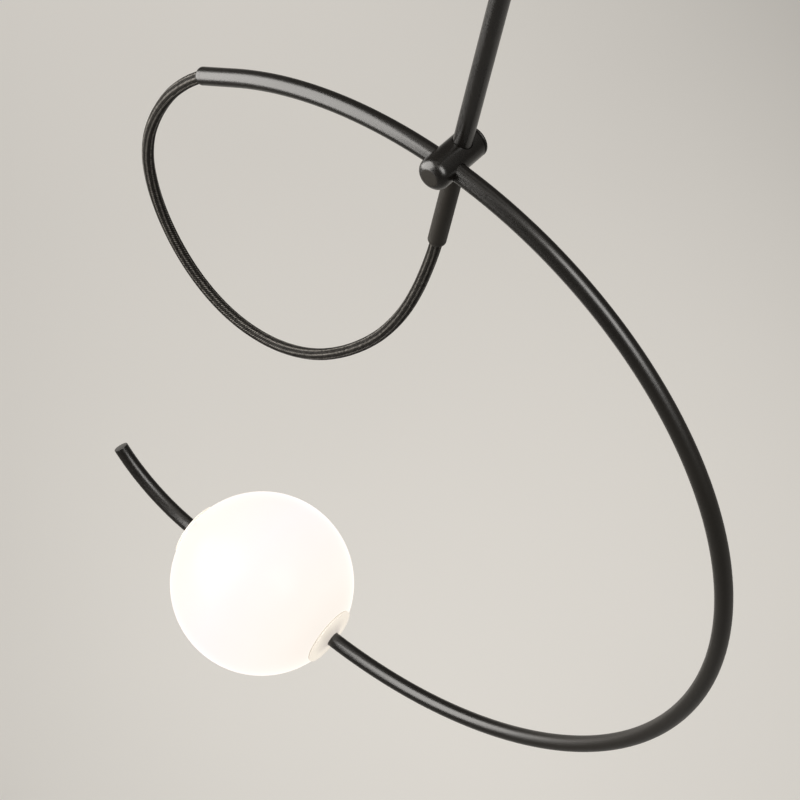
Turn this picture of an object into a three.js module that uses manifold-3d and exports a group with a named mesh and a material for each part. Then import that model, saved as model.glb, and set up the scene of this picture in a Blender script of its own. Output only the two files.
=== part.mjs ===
// Pendant lamp. A straight stem hangs from a ceiling canopy and passes through a small clamp.
// The clamp also grips the top of a large open ring of the same black tube. A textile cable
// hangs in a loop from the stem's lower end to the ring's upper end, so that the ring can be
// slid round through the clamp. Near its lowest point the ring runs through an opal glass
// globe and ends in a short curved tail.
// Millimetres, +Z up. The origin is on the ceiling, over the stem. The ring lies in an XZ plane.

import * as THREE from "three";
import { mergeVertices } from "three/addons/utils/BufferGeometryUtils.js";
import Module from "manifold-3d";

const wasm = await Module();
wasm.setup();

// Fits
const gap = 0.3;
const overrun = 2;

// Tube of the stem, the ring and the tail
const tube_diameter = 12.7;
const tube_wall = 1.2;
const tube_radius = tube_diameter / 2;
const bore_radius = tube_radius - tube_wall;

// Ring: a short straight end for the cable, an arc, a straight run through the globe, the tail
const ring_radius = 296;
const ring_end_straight = 29.1;
const ring_past_clamp_deg = 34.6;
const arc_inside_globe = 7;
const tail_inside_globe = 4;
const tail_radius = 136;
const tail_sweep_deg = 41.6;
const tube_spacing_at_clamp = 1.6;
const stem_to_ring = tube_diameter + tube_spacing_at_clamp;

// Ceiling to clamp, and the stem's length below the clamp
const clamp_drop = 330;
const stem_below_clamp = 82.2;

// Clamp: a round bar across both tubes, closed at the nose, with a screw in its back end
const clamp_diameter = 22.3;
const clamp_front_end_length = 11.1;
const clamp_back_end_length = 8.7;
const clamp_nose_flat_diameter = 10.2;
const clamp_nose_length = 6.4;
const clamp_bore_diameter = 15;
const clamp_head_length = 2.7;
const clamp_head_rounding = 1.6;
const clamp_pad_thickness = 2.5;
const saddle_reach = 3;
const clamp_key_across_flats = 5;
const clamp_key_depth = 4;
const clamp_radius = clamp_diameter / 2;
const clamp_front = stem_to_ring + tube_radius + clamp_front_end_length;
const clamp_back = tube_radius + clamp_back_end_length;

// Textile cable and the bushes where it enters the tubes
const cable_diameter = 8.7;
const bush_nose_length = 4.5;
const bush_nose_rounding = 1.3;
const bush_spigot_length = 7;
const bush_mouth_depth = 6;
const bush_mouth_flare = 0.35;
const bush_mouth_radius = cable_diameter / 2 + gap;
const lead_diameter = 6;

// Glass globe and what holds it
const globe_diameter = 156;
const glass_thickness = 3;
const globe_opening_diameter = 44.6;
const globe_rim_diameter = 53.8;
const seal_thickness = 0.6;
const cap_diameter = 51.6;
const cap_edge_thickness = 1;
const cap_plate_thickness = 1.8;
const cap_collar_rise = 2.9;
const cap_collar_diameter = 15.4;
const cap_spigot_height = 3;
const cap_spigot_wall = 1.8;
const cap_hub_diameter = 20;
const cap_rise_shares = [0, -0.03, 0.08, 0.36, 1];
const globe_radius = globe_diameter / 2;

// Light source on the tube inside the globe
const core_across_flats = 24;
const core_length = 96;
const core_socket_depth = 6;
const board_count = 6;
const board_length = 68;
const board_width = 10;
const board_thickness = 1.2;
const joint_pin_length = 44;
const tail_plug_length = 5;
const tail_plug_flange = 1;
const grub_diameter = 4;
const core_screw_from_end = 10;

// Canopy and ceiling plate
const canopy_diameter = 127;
const canopy_height = 30;
const canopy_wall = 1.5;
const canopy_rounding = 4;
const canopy_top_gap = 0.5;
const plate_thickness = 2;
const plate_rim_height = 12;
const plate_rim_wall = 1.5;
const slot_spacing = 88;
const slot_length = 14;
const slot_width = 5;
const entry_hole_diameter = 16;
const entry_hole_x = -24;
const entry_hole_y = -34;
const side_screw_drop = 7;
const side_screw_diameter = 4;
const side_screw_head_diameter = 8;
const side_screw_head_height = 2.4;
const side_screw_reach = 1.5;
const side_screw_edge_share = 0.35;
const side_screw_crown_share = 0.8;
const side_screw_crown_width_share = 0.75;

// Nipple, nut, washer and collar at the stem's top
const nipple_wall = 1.35;
const nipple_in_stem = 20;
const nipple_above_nut = 2.2;
const nut_across_flats = 16;
const nut_height = 5;
const washer_diameter = 20;
const washer_thickness = 1.2;
const collar_height = 14;
const collar_chamfer = 1;
const nipple_radius = bore_radius - gap;
const nipple_bore_radius = nipple_radius - nipple_wall;

// Driver and terminals under the ceiling plate
const driver_length_share = 1.16;
const driver_height = 18;
const driver_rounding = 2;
const driver_from_nipple = 11;
const driver_to_rim = 3;
const terminal_length = 26;
const terminal_width = 16;
const terminal_height = 13;
const terminal_x = 6;
const terminal_y = -28;
const terminal_count = 3;
const terminal_hole_radius = 2;
const driver_lead_diameter = 4;
const driver_lead_x = 12;

// Counts of facets
const round_sides = 24;
const small_sides = 16;
const wide_sides = 32;
const tube_sides = 16;
const bore_sides = 8;
const ring_steps = 58;
const tail_steps = 18;
const globe_sides = 30;
const globe_outer_steps = 14;
const globe_inner_steps = 9;
const corner_steps = 3;
const nose_steps = 5;
const lead_sides = 6;
const lead_steps = 40;
const lead_bend_steps = 8;
const cable_sides = 8;
const cable_steps = 76;

// Places worked out from the sizes above
const ring_start_angle = THREE.MathUtils.degToRad(90 + ring_past_clamp_deg);
const ring_low_angle = -Math.PI / 2;
const ring_to_low_point = ring_end_straight + (ring_start_angle - ring_low_angle) * ring_radius;
const run_length = globe_diameter - arc_inside_globe - tail_inside_globe;
const globe_x = arc_inside_globe - globe_radius;
const tube_joint_x = globe_x + gap / 2;
const ring_z = -clamp_drop - ring_radius;
const rim_plane = Math.sqrt(globe_radius ** 2 - (globe_rim_diameter / 2) ** 2);
const cap_underside = rim_plane + seal_thickness + 2 * gap;
const cap_edge_plane = cap_underside + cap_edge_thickness;
const cap_collar_plane = cap_edge_plane + cap_collar_rise;
const canopy_radius = canopy_diameter / 2;
const canopy_inner_radius = canopy_radius - canopy_wall;
const plate_radius = canopy_inner_radius - gap;
const rim_inside = plate_radius - plate_rim_wall;
const driver_length = driver_length_share * rim_inside;
const driver_near = nipple_radius + driver_from_nipple;
const driver_far = Math.sqrt((rim_inside - driver_to_rim) ** 2 - (driver_length / 2) ** 2);
const driver_width = driver_far - driver_near;
const washer_bottom = -canopy_height + canopy_wall + gap;
const nut_bottom = washer_bottom + washer_thickness + gap;
const nipple_top = nut_bottom + nut_height + nipple_above_nut;
const stem_top = -canopy_height - gap;
const stem_bottom = -clamp_drop - stem_below_clamp;

// The free cable's line, from inside the stem's bush, down and round, into the ring's bush.
// Places are from the crossing of the stem with the clamp.
const cable_route = [
  [0, 0, -81],
  [0, 0, -88],
  [-0.6, 0, -102],
  [-2, -0.1, -120],
  [-4.6, -0.2, -142],
  [-9, -0.6, -166],
  [-15.5, -0.9, -189],
  [-24.5, -1.3, -212],
  [-36.5, -1.9, -234.4],
  [-51.5, -2.6, -256],
  [-69, -3.4, -274.7],
  [-88, -4.2, -288.2],
  [-108, -5.1, -296.5],
  [-128, -6, -299.5],
  [-148, -7, -297.5],
  [-167, -8.1, -290.3],
  [-184.1, -9.2, -279],
  [-199.2, -10.2, -264.6],
  [-212.6, -11.1, -247.4],
  [-223.4, -11.9, -228.7],
  [-231.4, -12.6, -208.6],
  [-236.2, -13.1, -187.5],
  [-236.5, -13.6, -164.6],
  [-233, -13.9, -144.1],
  [-227.3, -14.1, -125],
  [-219.4, -14.2, -106.2],
  [-210, -14.3, -90.3],
  [-205.2, -14.3, -83.5],
  [-200.4, -14.3, -77.4],
  [-195.9, -14.3, -72.1],
  [-193.6, -14.3, -70],
  [-191.2, -14.3, -68.3],
];

// Finishes
const black_coat = { color: 0x1a1917, roughness: 0.48, metalness: 0.35 };
const black_textile = { color: 0x1d1c1a, roughness: 0.9, metalness: 0 };
const opal_glass = { color: 0xfffaf0, roughness: 0.25, metalness: 0 };
const cap_plastic = { color: 0xf3ece2, roughness: 0.45, metalness: 0 };
const clear_silicone = { color: 0xf2eee6, roughness: 0.6, metalness: 0 };
const zinc_steel = { color: 0xb5b7b8, roughness: 0.4, metalness: 0.9 };
const bare_aluminium = { color: 0xc8c9ca, roughness: 0.35, metalness: 0.9 };
const brass = { color: 0xb08d45, roughness: 0.35, metalness: 0.9 };
const white_plastic = { color: 0xe8e6e0, roughness: 0.5, metalness: 0 };
const lead_sheath = { color: 0xd9d7d0, roughness: 0.6, metalness: 0 };

const AXIS_TURNS = {
  x: new THREE.Matrix4().makeRotationZ(-Math.PI / 2),
  y: new THREE.Matrix4(),
  z: new THREE.Matrix4().makeRotationX(Math.PI / 2),
};

// A named mesh with a material of its own
function piece(name, geometry, finish) {
  const mesh = new THREE.Mesh(geometry, new THREE.MeshStandardMaterial(finish));
  mesh.name = name;
  return mesh;
}

// A solid of revolution from [radius, place along the axis] points, closed on itself or on the axis
function revolve(points, axis = "z", sides = round_sides) {
  const onAxis = points.every(([radius]) => radius > 0) === false;
  const loop = onAxis ? points : [...points, points[0]];
  let area = 0;
  points.forEach(([radius, along], index) => {
    const [nextRadius, nextAlong] = points[(index + 1) % points.length];
    area += radius * nextAlong - nextRadius * along;
  });
  const ordered = area > 0 ? loop : [...loop].reverse();
  const profile = ordered.map(([radius, along]) => new THREE.Vector2(radius, along));
  return new THREE.LatheGeometry(profile, sides).applyMatrix4(AXIS_TURNS[axis]);
}

function rod(radius, from, to, axis = "z", sides = round_sides) {
  return revolve([[0, from], [radius, from], [radius, to], [0, to]], axis, sides);
}

function pipe(outer, inner, from, to, axis = "z", sides = round_sides) {
  return revolve([[outer, from], [outer, to], [inner, to], [inner, from]], axis, sides);
}

// Points of a quarter turn in a profile, from angle to angle in degrees
function corner(radius, along, reach, fromDeg, toDeg, steps = corner_steps) {
  return Array.from({ length: steps + 1 }, (_, step) => {
    const angle = THREE.MathUtils.degToRad(fromDeg + ((toDeg - fromDeg) * step) / steps);
    return [radius + reach * Math.cos(angle), along + reach * Math.sin(angle)];
  });
}

// A bore's outline, with its flats at the radius so that a round spigot clears them
function boreOutline(radius, sides) {
  const corner_radius = radius / Math.cos(Math.PI / sides);
  const corners = Array.from({ length: sides }, (_, index) => {
    const angle = (-2 * Math.PI * index) / sides;
    return new THREE.Vector2(corner_radius * Math.cos(angle), corner_radius * Math.sin(angle));
  });
  return new THREE.Path(corners);
}

// A tube or a rod along a curve; bore is zero for a rod
function sweep(curve, outer, bore, steps, sides = tube_sides) {
  const section = new THREE.Shape().absarc(0, 0, outer, 0, 2 * Math.PI, false);
  if (bore > 0) {
    section.holes.push(boreOutline(bore, bore_sides));
  }
  return new THREE.ExtrudeGeometry(section, { extrudePath: curve, steps, curveSegments: sides / 2 });
}

function hexagon(across_flats) {
  const corner_radius = across_flats / Math.sqrt(3);
  const corners = Array.from({ length: 6 }, (_, index) => {
    const angle = (index * Math.PI) / 3;
    return new THREE.Vector2(corner_radius * Math.cos(angle), corner_radius * Math.sin(angle));
  });
  return new THREE.Shape(corners);
}

// A hexagonal bar with a round bore, along Z from one place to the other
function hexBar(across_flats, bore, from, to) {
  const outline = hexagon(across_flats);
  outline.holes.push(boreOutline(bore, small_sides));
  const bar = new THREE.ExtrudeGeometry(outline, { depth: to - from, bevelEnabled: false });
  return bar.translate(0, 0, from);
}

function toSolid(geometry) {
  const bare = geometry.clone();
  bare.deleteAttribute("normal");
  bare.deleteAttribute("uv");
  const merged = mergeVertices(bare);
  return new wasm.Manifold(
    new wasm.Mesh({
      numProp: 3,
      vertProperties: new Float32Array(merged.attributes.position.array),
      triVerts: new Uint32Array(merged.index.array),
    }),
  );
}

// The body less the cutters, as a geometry again
function cut(body, ...cutters) {
  let solid = toSolid(body);
  for (const cutter of cutters) {
    solid = solid.subtract(toSolid(cutter));
  }
  const mesh = solid.getMesh();
  const geometry = new THREE.BufferGeometry();
  geometry.setAttribute("position", new THREE.BufferAttribute(mesh.vertProperties, 3));
  geometry.setIndex(new THREE.BufferAttribute(mesh.triVerts, 1));
  geometry.computeVertexNormals();
  return geometry;
}

// The ring's centre line about the ring's centre, between two distances from its cable end
class RingLine extends THREE.Curve {
  constructor(from, to) {
    super();
    this.from = from;
    this.to = to;
  }

  getPoint(share, target = new THREE.Vector3()) {
    const along = THREE.MathUtils.lerp(this.from, this.to, share);
    if (along > ring_to_low_point) {
      return target.set(ring_to_low_point - along, 0, -ring_radius);
    }
    const before_arc = Math.max(ring_end_straight - along, 0);
    const arc = Math.max(along - ring_end_straight, 0);
    const angle = ring_start_angle - arc / ring_radius;
    const x = ring_radius * Math.cos(angle) - before_arc * Math.sin(angle);
    const z = ring_radius * Math.sin(angle) + before_arc * Math.cos(angle);
    return target.set(x, 0, z);
  }
}

// The tail's centre line: straight inside the globe, then an arc that lifts away
class TailLine extends THREE.Curve {
  constructor(start_x) {
    super();
    this.straight = start_x + run_length;
    this.start_x = start_x;
    this.arc = THREE.MathUtils.degToRad(tail_sweep_deg) * tail_radius;
  }

  getPoint(share, target = new THREE.Vector3()) {
    const along = share * (this.straight + this.arc);
    if (along < this.straight) {
      return target.set(this.start_x - along, 0, -ring_radius);
    }
    const angle = (along - this.straight) / tail_radius;
    const x = -run_length - tail_radius * Math.sin(angle);
    return target.set(x, 0, -ring_radius + tail_radius * (1 - Math.cos(angle)));
  }
}

function ceilingPlate() {
  const dish = revolve([
    [0, 0],
    [plate_radius, 0],
    [plate_radius, -plate_rim_height],
    [rim_inside, -plate_rim_height],
    [rim_inside, -plate_thickness],
    [0, -plate_thickness],
  ], "z", wide_sides);
  const slots = [-1, 1].map((side) => {
    const half = slot_length / 2 - slot_width / 2;
    const outline = new THREE.Shape();
    outline.absarc(0, half, slot_width / 2, 0, Math.PI, false);
    outline.absarc(0, -half, slot_width / 2, Math.PI, 2 * Math.PI, false);
    const slot = new THREE.ExtrudeGeometry(outline, {
      depth: plate_thickness + 2 * overrun,
      bevelEnabled: false,
      curveSegments: corner_steps,
    });
    return slot.translate((side * slot_spacing) / 2, 0, -plate_thickness - overrun);
  });
  const entry = rod(entry_hole_diameter / 2, -plate_thickness - overrun, overrun);
  entry.translate(entry_hole_x, entry_hole_y, 0);
  return cut(dish, ...slots, entry, ...sideScrewHoles());
}

function sideScrewHoles() {
  const radius = side_screw_diameter / 2 + gap;
  return [-1, 1].map((side) => {
    const from = side * (rim_inside - overrun);
    const to = side * (canopy_radius + overrun);
    const hole = rod(radius, Math.min(from, to), Math.max(from, to), "x", small_sides);
    return hole.translate(0, 0, -side_screw_drop);
  });
}

function canopyCup() {
  const floor = -canopy_height;
  const turn = canopy_radius - canopy_rounding;
  const cup = revolve([
    [nipple_radius + gap, floor],
    ...corner(turn, floor + canopy_rounding, canopy_rounding, -90, 0),
    [canopy_radius, -canopy_top_gap],
    [canopy_inner_radius, -canopy_top_gap],
    ...corner(turn, floor + canopy_rounding, canopy_rounding - canopy_wall, 0, -90),
    [nipple_radius + gap, floor + canopy_wall],
  ], "z", wide_sides);
  return cut(cup, ...sideScrewHoles());
}

// A domed screw along +X, with its head outside the canopy
function sideScrew() {
  const head_from = canopy_radius + gap;
  const head_radius = side_screw_head_diameter / 2;
  const crown_radius = side_screw_crown_width_share * head_radius;
  const shank_from = rim_inside - side_screw_reach;
  return revolve([
    [0, shank_from],
    [side_screw_diameter / 2, shank_from],
    [side_screw_diameter / 2, head_from],
    [head_radius, head_from],
    [head_radius, head_from + side_screw_edge_share * side_screw_head_height],
    [crown_radius, head_from + side_screw_crown_share * side_screw_head_height],
    [0, head_from + side_screw_head_height],
  ], "x", small_sides).translate(0, 0, -side_screw_drop);
}

function roundedBlock(length, width, height, rounding) {
  const x = length / 2 - rounding;
  const y = width / 2 - rounding;
  const outline = new THREE.Shape();
  outline.absarc(x, y, rounding, 0, Math.PI / 2, false);
  outline.absarc(-x, y, rounding, Math.PI / 2, Math.PI, false);
  outline.absarc(-x, -y, rounding, Math.PI, 1.5 * Math.PI, false);
  outline.absarc(x, -y, rounding, 1.5 * Math.PI, 2 * Math.PI, false);
  return new THREE.ExtrudeGeometry(outline, {
    depth: height,
    bevelEnabled: false,
    curveSegments: corner_steps,
  }).translate(0, 0, -height);
}

function terminalBlock() {
  const block = new THREE.BoxGeometry(terminal_length, terminal_width, terminal_height);
  block.translate(0, 0, -terminal_height / 2);
  const bottom = -terminal_height;
  const pitch = terminal_length / terminal_count;
  const wells = Array.from({ length: terminal_count }, (_, index) => {
    const well = rod(terminal_hole_radius, bottom - overrun, bottom / 2, "z", small_sides);
    return well.translate((index - (terminal_count - 1) / 2) * pitch, 0, 0);
  });
  return cut(block, ...wells);
}

function ceilingGroup() {
  const group = new THREE.Group();
  const under_plate = -plate_thickness - gap;
  const driver = piece(
    "led_driver",
    roundedBlock(driver_length, driver_width, driver_height, driver_rounding),
    white_plastic,
  );
  driver.position.set(0, (driver_near + driver_far) / 2, under_plate);
  const terminals = piece("terminal_block", terminalBlock(), white_plastic);
  terminals.position.set(terminal_x, terminal_y, under_plate);
  const driver_side = driver_near - gap;
  const terminal_side = terminal_y + terminal_width / 2 + gap;
  const driver_lead = piece(
    "driver_lead",
    rod(driver_lead_diameter / 2, terminal_side, driver_side, "y", lead_sides),
    lead_sheath,
  );
  driver_lead.position.set(driver_lead_x, 0, under_plate - terminal_height / 2);
  const screw_right = piece("canopy_screw_right", sideScrew(), black_coat);
  const screw_left = piece("canopy_screw_left", sideScrew(), black_coat);
  screw_left.rotation.z = Math.PI;
  group.add(
    piece("ceiling_plate", ceilingPlate(), zinc_steel),
    piece("canopy_cup", canopyCup(), black_coat),
    screw_right,
    screw_left,
    driver,
    terminals,
    driver_lead,
  );
  return group;
}

// A headless screw along +Y between two distances from an axis
function grubScrew(from, to) {
  return rod(grub_diameter / 2, from, to, "y", small_sides);
}

function grubHole(from, to) {
  return rod(grub_diameter / 2 + gap, from - overrun, to + overrun, "y", small_sides);
}

function canopyCollar() {
  const top = stem_top;
  const bottom = top - collar_height;
  const bore = tube_radius + gap;
  const body = revolve([
    [bore, top],
    [clamp_radius, top],
    [clamp_radius, bottom + collar_chamfer],
    [clamp_radius - collar_chamfer, bottom],
    [bore, bottom],
  ]);
  const hole = grubHole(bore, clamp_radius).translate(0, 0, top - collar_height / 2);
  return cut(body, hole);
}

// A bush on +Z: a spigot inside the tube, and a rounded nose of the tube's own diameter.
// Zero is the tube's end face; the cable's mouth is sunk into the nose and opens a little.
function endBush() {
  const mouth_floor = bush_nose_length - bush_mouth_depth;
  const shoulder = bush_nose_length - bush_nose_rounding;
  const lead_bore = lead_diameter / 2 + gap;
  return revolve([
    [lead_bore, -bush_spigot_length],
    [bore_radius - gap, -bush_spigot_length],
    [bore_radius - gap, gap],
    [tube_radius, gap],
    ...corner(tube_radius - bush_nose_rounding, shoulder, bush_nose_rounding, 0, 90),
    [bush_mouth_radius + bush_mouth_flare, bush_nose_length],
    [bush_mouth_radius, mouth_floor],
    [lead_bore, mouth_floor],
  ]);
}

function stemGroup() {
  const group = new THREE.Group();
  const bush = piece("stem_end_bush", endBush(), black_coat);
  bush.position.z = stem_bottom;
  bush.rotation.x = Math.PI;
  const grub = grubScrew(tube_radius + gap, clamp_radius - gap);
  const screw = piece("collar_grub_screw", grub, black_coat);
  screw.position.z = stem_top - collar_height / 2;
  const nipple = pipe(nipple_radius, nipple_bore_radius, stem_top - nipple_in_stem, nipple_top);
  const lead_bottom = stem_bottom + bush_spigot_length + gap;
  const nut = hexBar(nut_across_flats, nipple_radius + gap, nut_bottom, nut_bottom + nut_height);
  const washer_top = washer_bottom + washer_thickness;
  const washer = pipe(washer_diameter / 2, nipple_radius + gap, washer_bottom, washer_top);
  group.add(
    piece("stem_tube", pipe(tube_radius, bore_radius, stem_bottom, stem_top), black_coat),
    bush,
    piece("stem_nipple", nipple, brass),
    piece("nipple_nut", nut, brass),
    piece("nipple_washer", washer, zinc_steel),
    piece("canopy_collar", canopyCollar(), black_coat),
    screw,
    piece("stem_lead", rod(nipple_bore_radius - gap, lead_bottom, nipple_top), lead_sheath),
    piece("terminal_lead", terminalLead(), lead_sheath),
  );
  return group;
}

// The lead goes on from the nipple's top in a bend, across to the terminals
function terminalLead() {
  const block_side = terminal_y + terminal_width / 2 + gap;
  const from = nipple_top + gap;
  const height = -plate_thickness - gap - terminal_height / 2;
  const bend = new THREE.QuadraticBezierCurve3(
    new THREE.Vector3(0, 0, from),
    new THREE.Vector3(0, 0, height),
    new THREE.Vector3(0, block_side, height),
  );
  return sweep(bend, nipple_bore_radius - gap, 0, lead_bend_steps, lead_sides);
}

// The room that a tube takes in the clamp, and a little more
function stemRoom() {
  return rod(tube_radius + gap, -clamp_diameter, clamp_diameter);
}

function ringRoom() {
  const half = clamp_diameter;
  const top = ring_end_straight + (ring_start_angle - Math.PI / 2) * ring_radius;
  const line = new RingLine(top - half, top + half);
  const room = sweep(line, tube_radius + gap, 0, corner_steps, round_sides);
  return room.translate(0, -stem_to_ring, -ring_radius);
}

// The clamp's bar, closed and rounded at the nose (-Y), bored from the back end (+Y)
function clampBody() {
  const flat = clamp_nose_flat_diameter / 2;
  const nose = Array.from({ length: nose_steps + 1 }, (_, step) => {
    const angle = (step / nose_steps) * (Math.PI / 2);
    return [
      flat + (clamp_radius - flat) * Math.sin(angle),
      -clamp_front + clamp_nose_length * (1 - Math.cos(angle)),
    ];
  });
  const back = clamp_back - clamp_head_length - gap;
  const bar = revolve([[0, -clamp_front], ...nose, [clamp_radius, back], [0, back]], "y", wide_sides);
  const bore = rod(clamp_bore_diameter / 2, -stem_to_ring, back + overrun, "y");
  return cut(bar, stemRoom(), ringRoom(), bore);
}

// The saddle between the two crossed tubes, hollowed on both faces
function clampSaddle() {
  const puck = rod(clamp_bore_diameter / 2 - gap, -stem_to_ring + saddle_reach, -saddle_reach, "y");
  return cut(puck, stemRoom(), ringRoom());
}

function clampPad() {
  const face = tube_radius + gap + clamp_pad_thickness;
  return cut(rod(clamp_bore_diameter / 2 - gap, saddle_reach, face, "y"), stemRoom());
}

// The screw that closes the bar's back end and presses pad, stem, saddle and ring together
function clampScrew() {
  const tip = tube_radius + clamp_pad_thickness + 2 * gap;
  const seat = clamp_back - clamp_head_length;
  const turn = clamp_radius - clamp_head_rounding;
  const body = revolve([
    [0, tip],
    [clamp_bore_diameter / 2 - gap, tip],
    [clamp_bore_diameter / 2 - gap, seat],
    [clamp_radius, seat],
    ...corner(turn, clamp_back - clamp_head_rounding, clamp_head_rounding, 0, 90),
    [0, clamp_back],
  ], "y", wide_sides);
  const key = new THREE.ExtrudeGeometry(hexagon(clamp_key_across_flats), {
    depth: clamp_key_depth + overrun,
    bevelEnabled: false,
  });
  key.applyMatrix4(new THREE.Matrix4().makeRotationX(-Math.PI / 2));
  key.translate(0, clamp_back - clamp_key_depth, 0);
  return cut(body, key);
}

function clampGroup() {
  const group = new THREE.Group();
  group.position.z = -clamp_drop;
  const line = new THREE.CatmullRomCurve3(cable_route.map((place) => new THREE.Vector3(...place)));
  const cable = sweep(line, cable_diameter / 2, 0, cable_steps, cable_sides);
  group.add(
    piece("clamp_body", clampBody(), black_coat),
    piece("clamp_saddle", clampSaddle(), brass),
    piece("clamp_pad", clampPad(), brass),
    piece("clamp_screw", clampScrew(), black_coat),
    piece("textile_cable", cable, black_textile),
  );
  return group;
}

// The globe's shell about X: a sphere with a ground flat rim round each of its two openings
function glassGlobe() {
  const opening = globe_opening_diameter / 2;
  const inside = globe_radius - glass_thickness;
  const rim_angle = THREE.MathUtils.radToDeg(Math.asin(globe_rim_diameter / 2 / globe_radius));
  const neck_angle = THREE.MathUtils.radToDeg(Math.asin(opening / inside));
  return revolve([
    ...corner(0, 0, globe_radius, rim_angle - 90, 90 - rim_angle, globe_outer_steps),
    [opening, rim_plane],
    ...corner(0, 0, inside, 90 - neck_angle, neck_angle - 90, globe_inner_steps),
    [opening, -rim_plane],
  ], "x", globe_sides);
}

// A round cap that closes one opening, with a collar round the tube and a hub into the core
function globeCap() {
  const cap_radius = cap_diameter / 2;
  const collar_radius = cap_collar_diameter / 2;
  const bore = tube_radius + gap;
  const spigot = globe_opening_diameter / 2 - gap;
  const face = cap_rise_shares.map((rise, index) => {
    const share = index / (cap_rise_shares.length - 1);
    const radius = THREE.MathUtils.lerp(cap_radius, collar_radius, share);
    return [radius, cap_edge_plane + rise * cap_collar_rise];
  });
  const hub = cap_hub_diameter / 2;
  const hub_end = core_length / 2 - core_socket_depth + gap;
  return revolve([
    [cap_radius, cap_underside],
    ...face,
    [bore, cap_collar_plane],
    [bore, hub_end],
    [hub, hub_end],
    [hub, cap_edge_plane - cap_plate_thickness],
    [spigot - cap_spigot_wall, cap_edge_plane - cap_plate_thickness],
    [spigot - cap_spigot_wall, cap_underside - cap_spigot_height],
    [spigot, cap_underside - cap_spigot_height],
    [spigot, cap_underside],
  ], "x", round_sides);
}

function glassSeal() {
  const from = rim_plane + gap;
  return pipe(cap_diameter / 2, globe_opening_diameter / 2, from, from + seal_thickness, "x", wide_sides);
}

// The hexagonal core that carries the light boards, along X. Each end has a socket for a cap's hub.
function ledCore() {
  const half = core_length / 2;
  const socket_radius = cap_hub_diameter / 2 + gap;
  const bar = hexBar(core_across_flats, tube_radius + gap, -half, half);
  bar.applyMatrix4(new THREE.Matrix4().makeRotationY(Math.PI / 2));
  const sockets = [-1, 1].map((side) => {
    const floor = side * (half - core_socket_depth);
    const mouth = side * (half + overrun);
    return rod(socket_radius, Math.min(floor, mouth), Math.max(floor, mouth), "x");
  });
  const holes = [-1, 1].map((side) =>
    grubHole(tube_radius, core_across_flats / 2).translate(side * (half - core_screw_from_end), 0, 0),
  );
  return cut(bar, ...sockets, ...holes);
}

function globeGroup() {
  const group = new THREE.Group();
  group.position.set(globe_x, 0, -ring_radius);
  group.add(piece("glass_globe", glassGlobe(), opal_glass));
  group.add(piece("led_core", ledCore(), bare_aluminium));
  const board_middle = core_across_flats / 2 + gap + board_thickness / 2;
  for (let index = 0; index < board_count; index += 1) {
    const board = new THREE.BoxGeometry(board_length, board_thickness, board_width);
    board.translate(0, board_middle, 0);
    const mesh = piece(`led_board_${index + 1}`, board, white_plastic);
    mesh.rotation.x = (index * 2 * Math.PI) / board_count;
    group.add(mesh);
  }
  for (const [side, name] of [[1, "entry"], [-1, "exit"]]) {
    const turn = side > 0 ? 0 : Math.PI;
    const cap = piece(`globe_cap_${name}`, globeCap(), cap_plastic);
    cap.rotation.z = turn;
    const seal = piece(`glass_seal_${name}`, glassSeal(), clear_silicone);
    seal.rotation.z = turn;
    const grub = grubScrew(tube_radius + gap, core_across_flats / 2);
    const screw = piece(`core_screw_${name}`, grub, zinc_steel);
    screw.position.x = side * (core_length / 2 - core_screw_from_end);
    group.add(cap, seal, screw);
  }
  return group;
}

// The pin that joins the ring's tube to the tail inside the core
function jointPin() {
  const half = joint_pin_length / 2;
  return rod(bore_radius - gap, globe_x - half, globe_x + half, "x").translate(0, 0, -ring_radius);
}

function tailPlug() {
  const turn = THREE.MathUtils.degToRad(tail_sweep_deg);
  const plug = revolve([
    [0, -tail_plug_length],
    [bore_radius - gap, -tail_plug_length],
    [bore_radius - gap, gap],
    [tube_radius, gap],
    [tube_radius, gap + tail_plug_flange],
    [0, gap + tail_plug_flange],
  ], "x");
  const mesh = piece("tail_end_plug", plug, black_coat);
  mesh.rotation.y = Math.PI + turn;
  mesh.position.copy(new TailLine(tube_joint_x - gap).getPoint(1));
  return mesh;
}

function ringGroup() {
  const group = new THREE.Group();
  group.position.set(0, -stem_to_ring, ring_z);
  const ring_end = ring_to_low_point - tube_joint_x;
  const ring_line = new RingLine(0, ring_end);
  const bush = piece("ring_end_bush", endBush(), black_coat);
  bush.position.copy(ring_line.getPoint(0));
  bush.rotation.y = -ring_start_angle;
  const lead_from = bush_spigot_length + gap;
  const lead_to = ring_end - joint_pin_length / 2 - gap;
  const lead = sweep(new RingLine(lead_from, lead_to), lead_diameter / 2, 0, lead_steps, lead_sides);
  const tail = sweep(new TailLine(tube_joint_x - gap), tube_radius, bore_radius, tail_steps);
  group.add(
    piece("ring_tube", sweep(ring_line, tube_radius, bore_radius, ring_steps), black_coat),
    bush,
    piece("ring_lead", lead, lead_sheath),
    piece("tail_tube", tail, black_coat),
    piece("tube_joint_pin", jointPin(), zinc_steel),
    tailPlug(),
    globeGroup(),
  );
  return group;
}

const lamp = new THREE.Group();
lamp.add(ceilingGroup(), stemGroup(), clampGroup(), ringGroup());

export default lamp;
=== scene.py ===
"""Looks of the pendant lamp: coated tube, turned clamp, braided cable, opal globe and canopy."""
import math

import bmesh
import bpy
import numpy as np
from mathutils import Matrix, Vector


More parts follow.
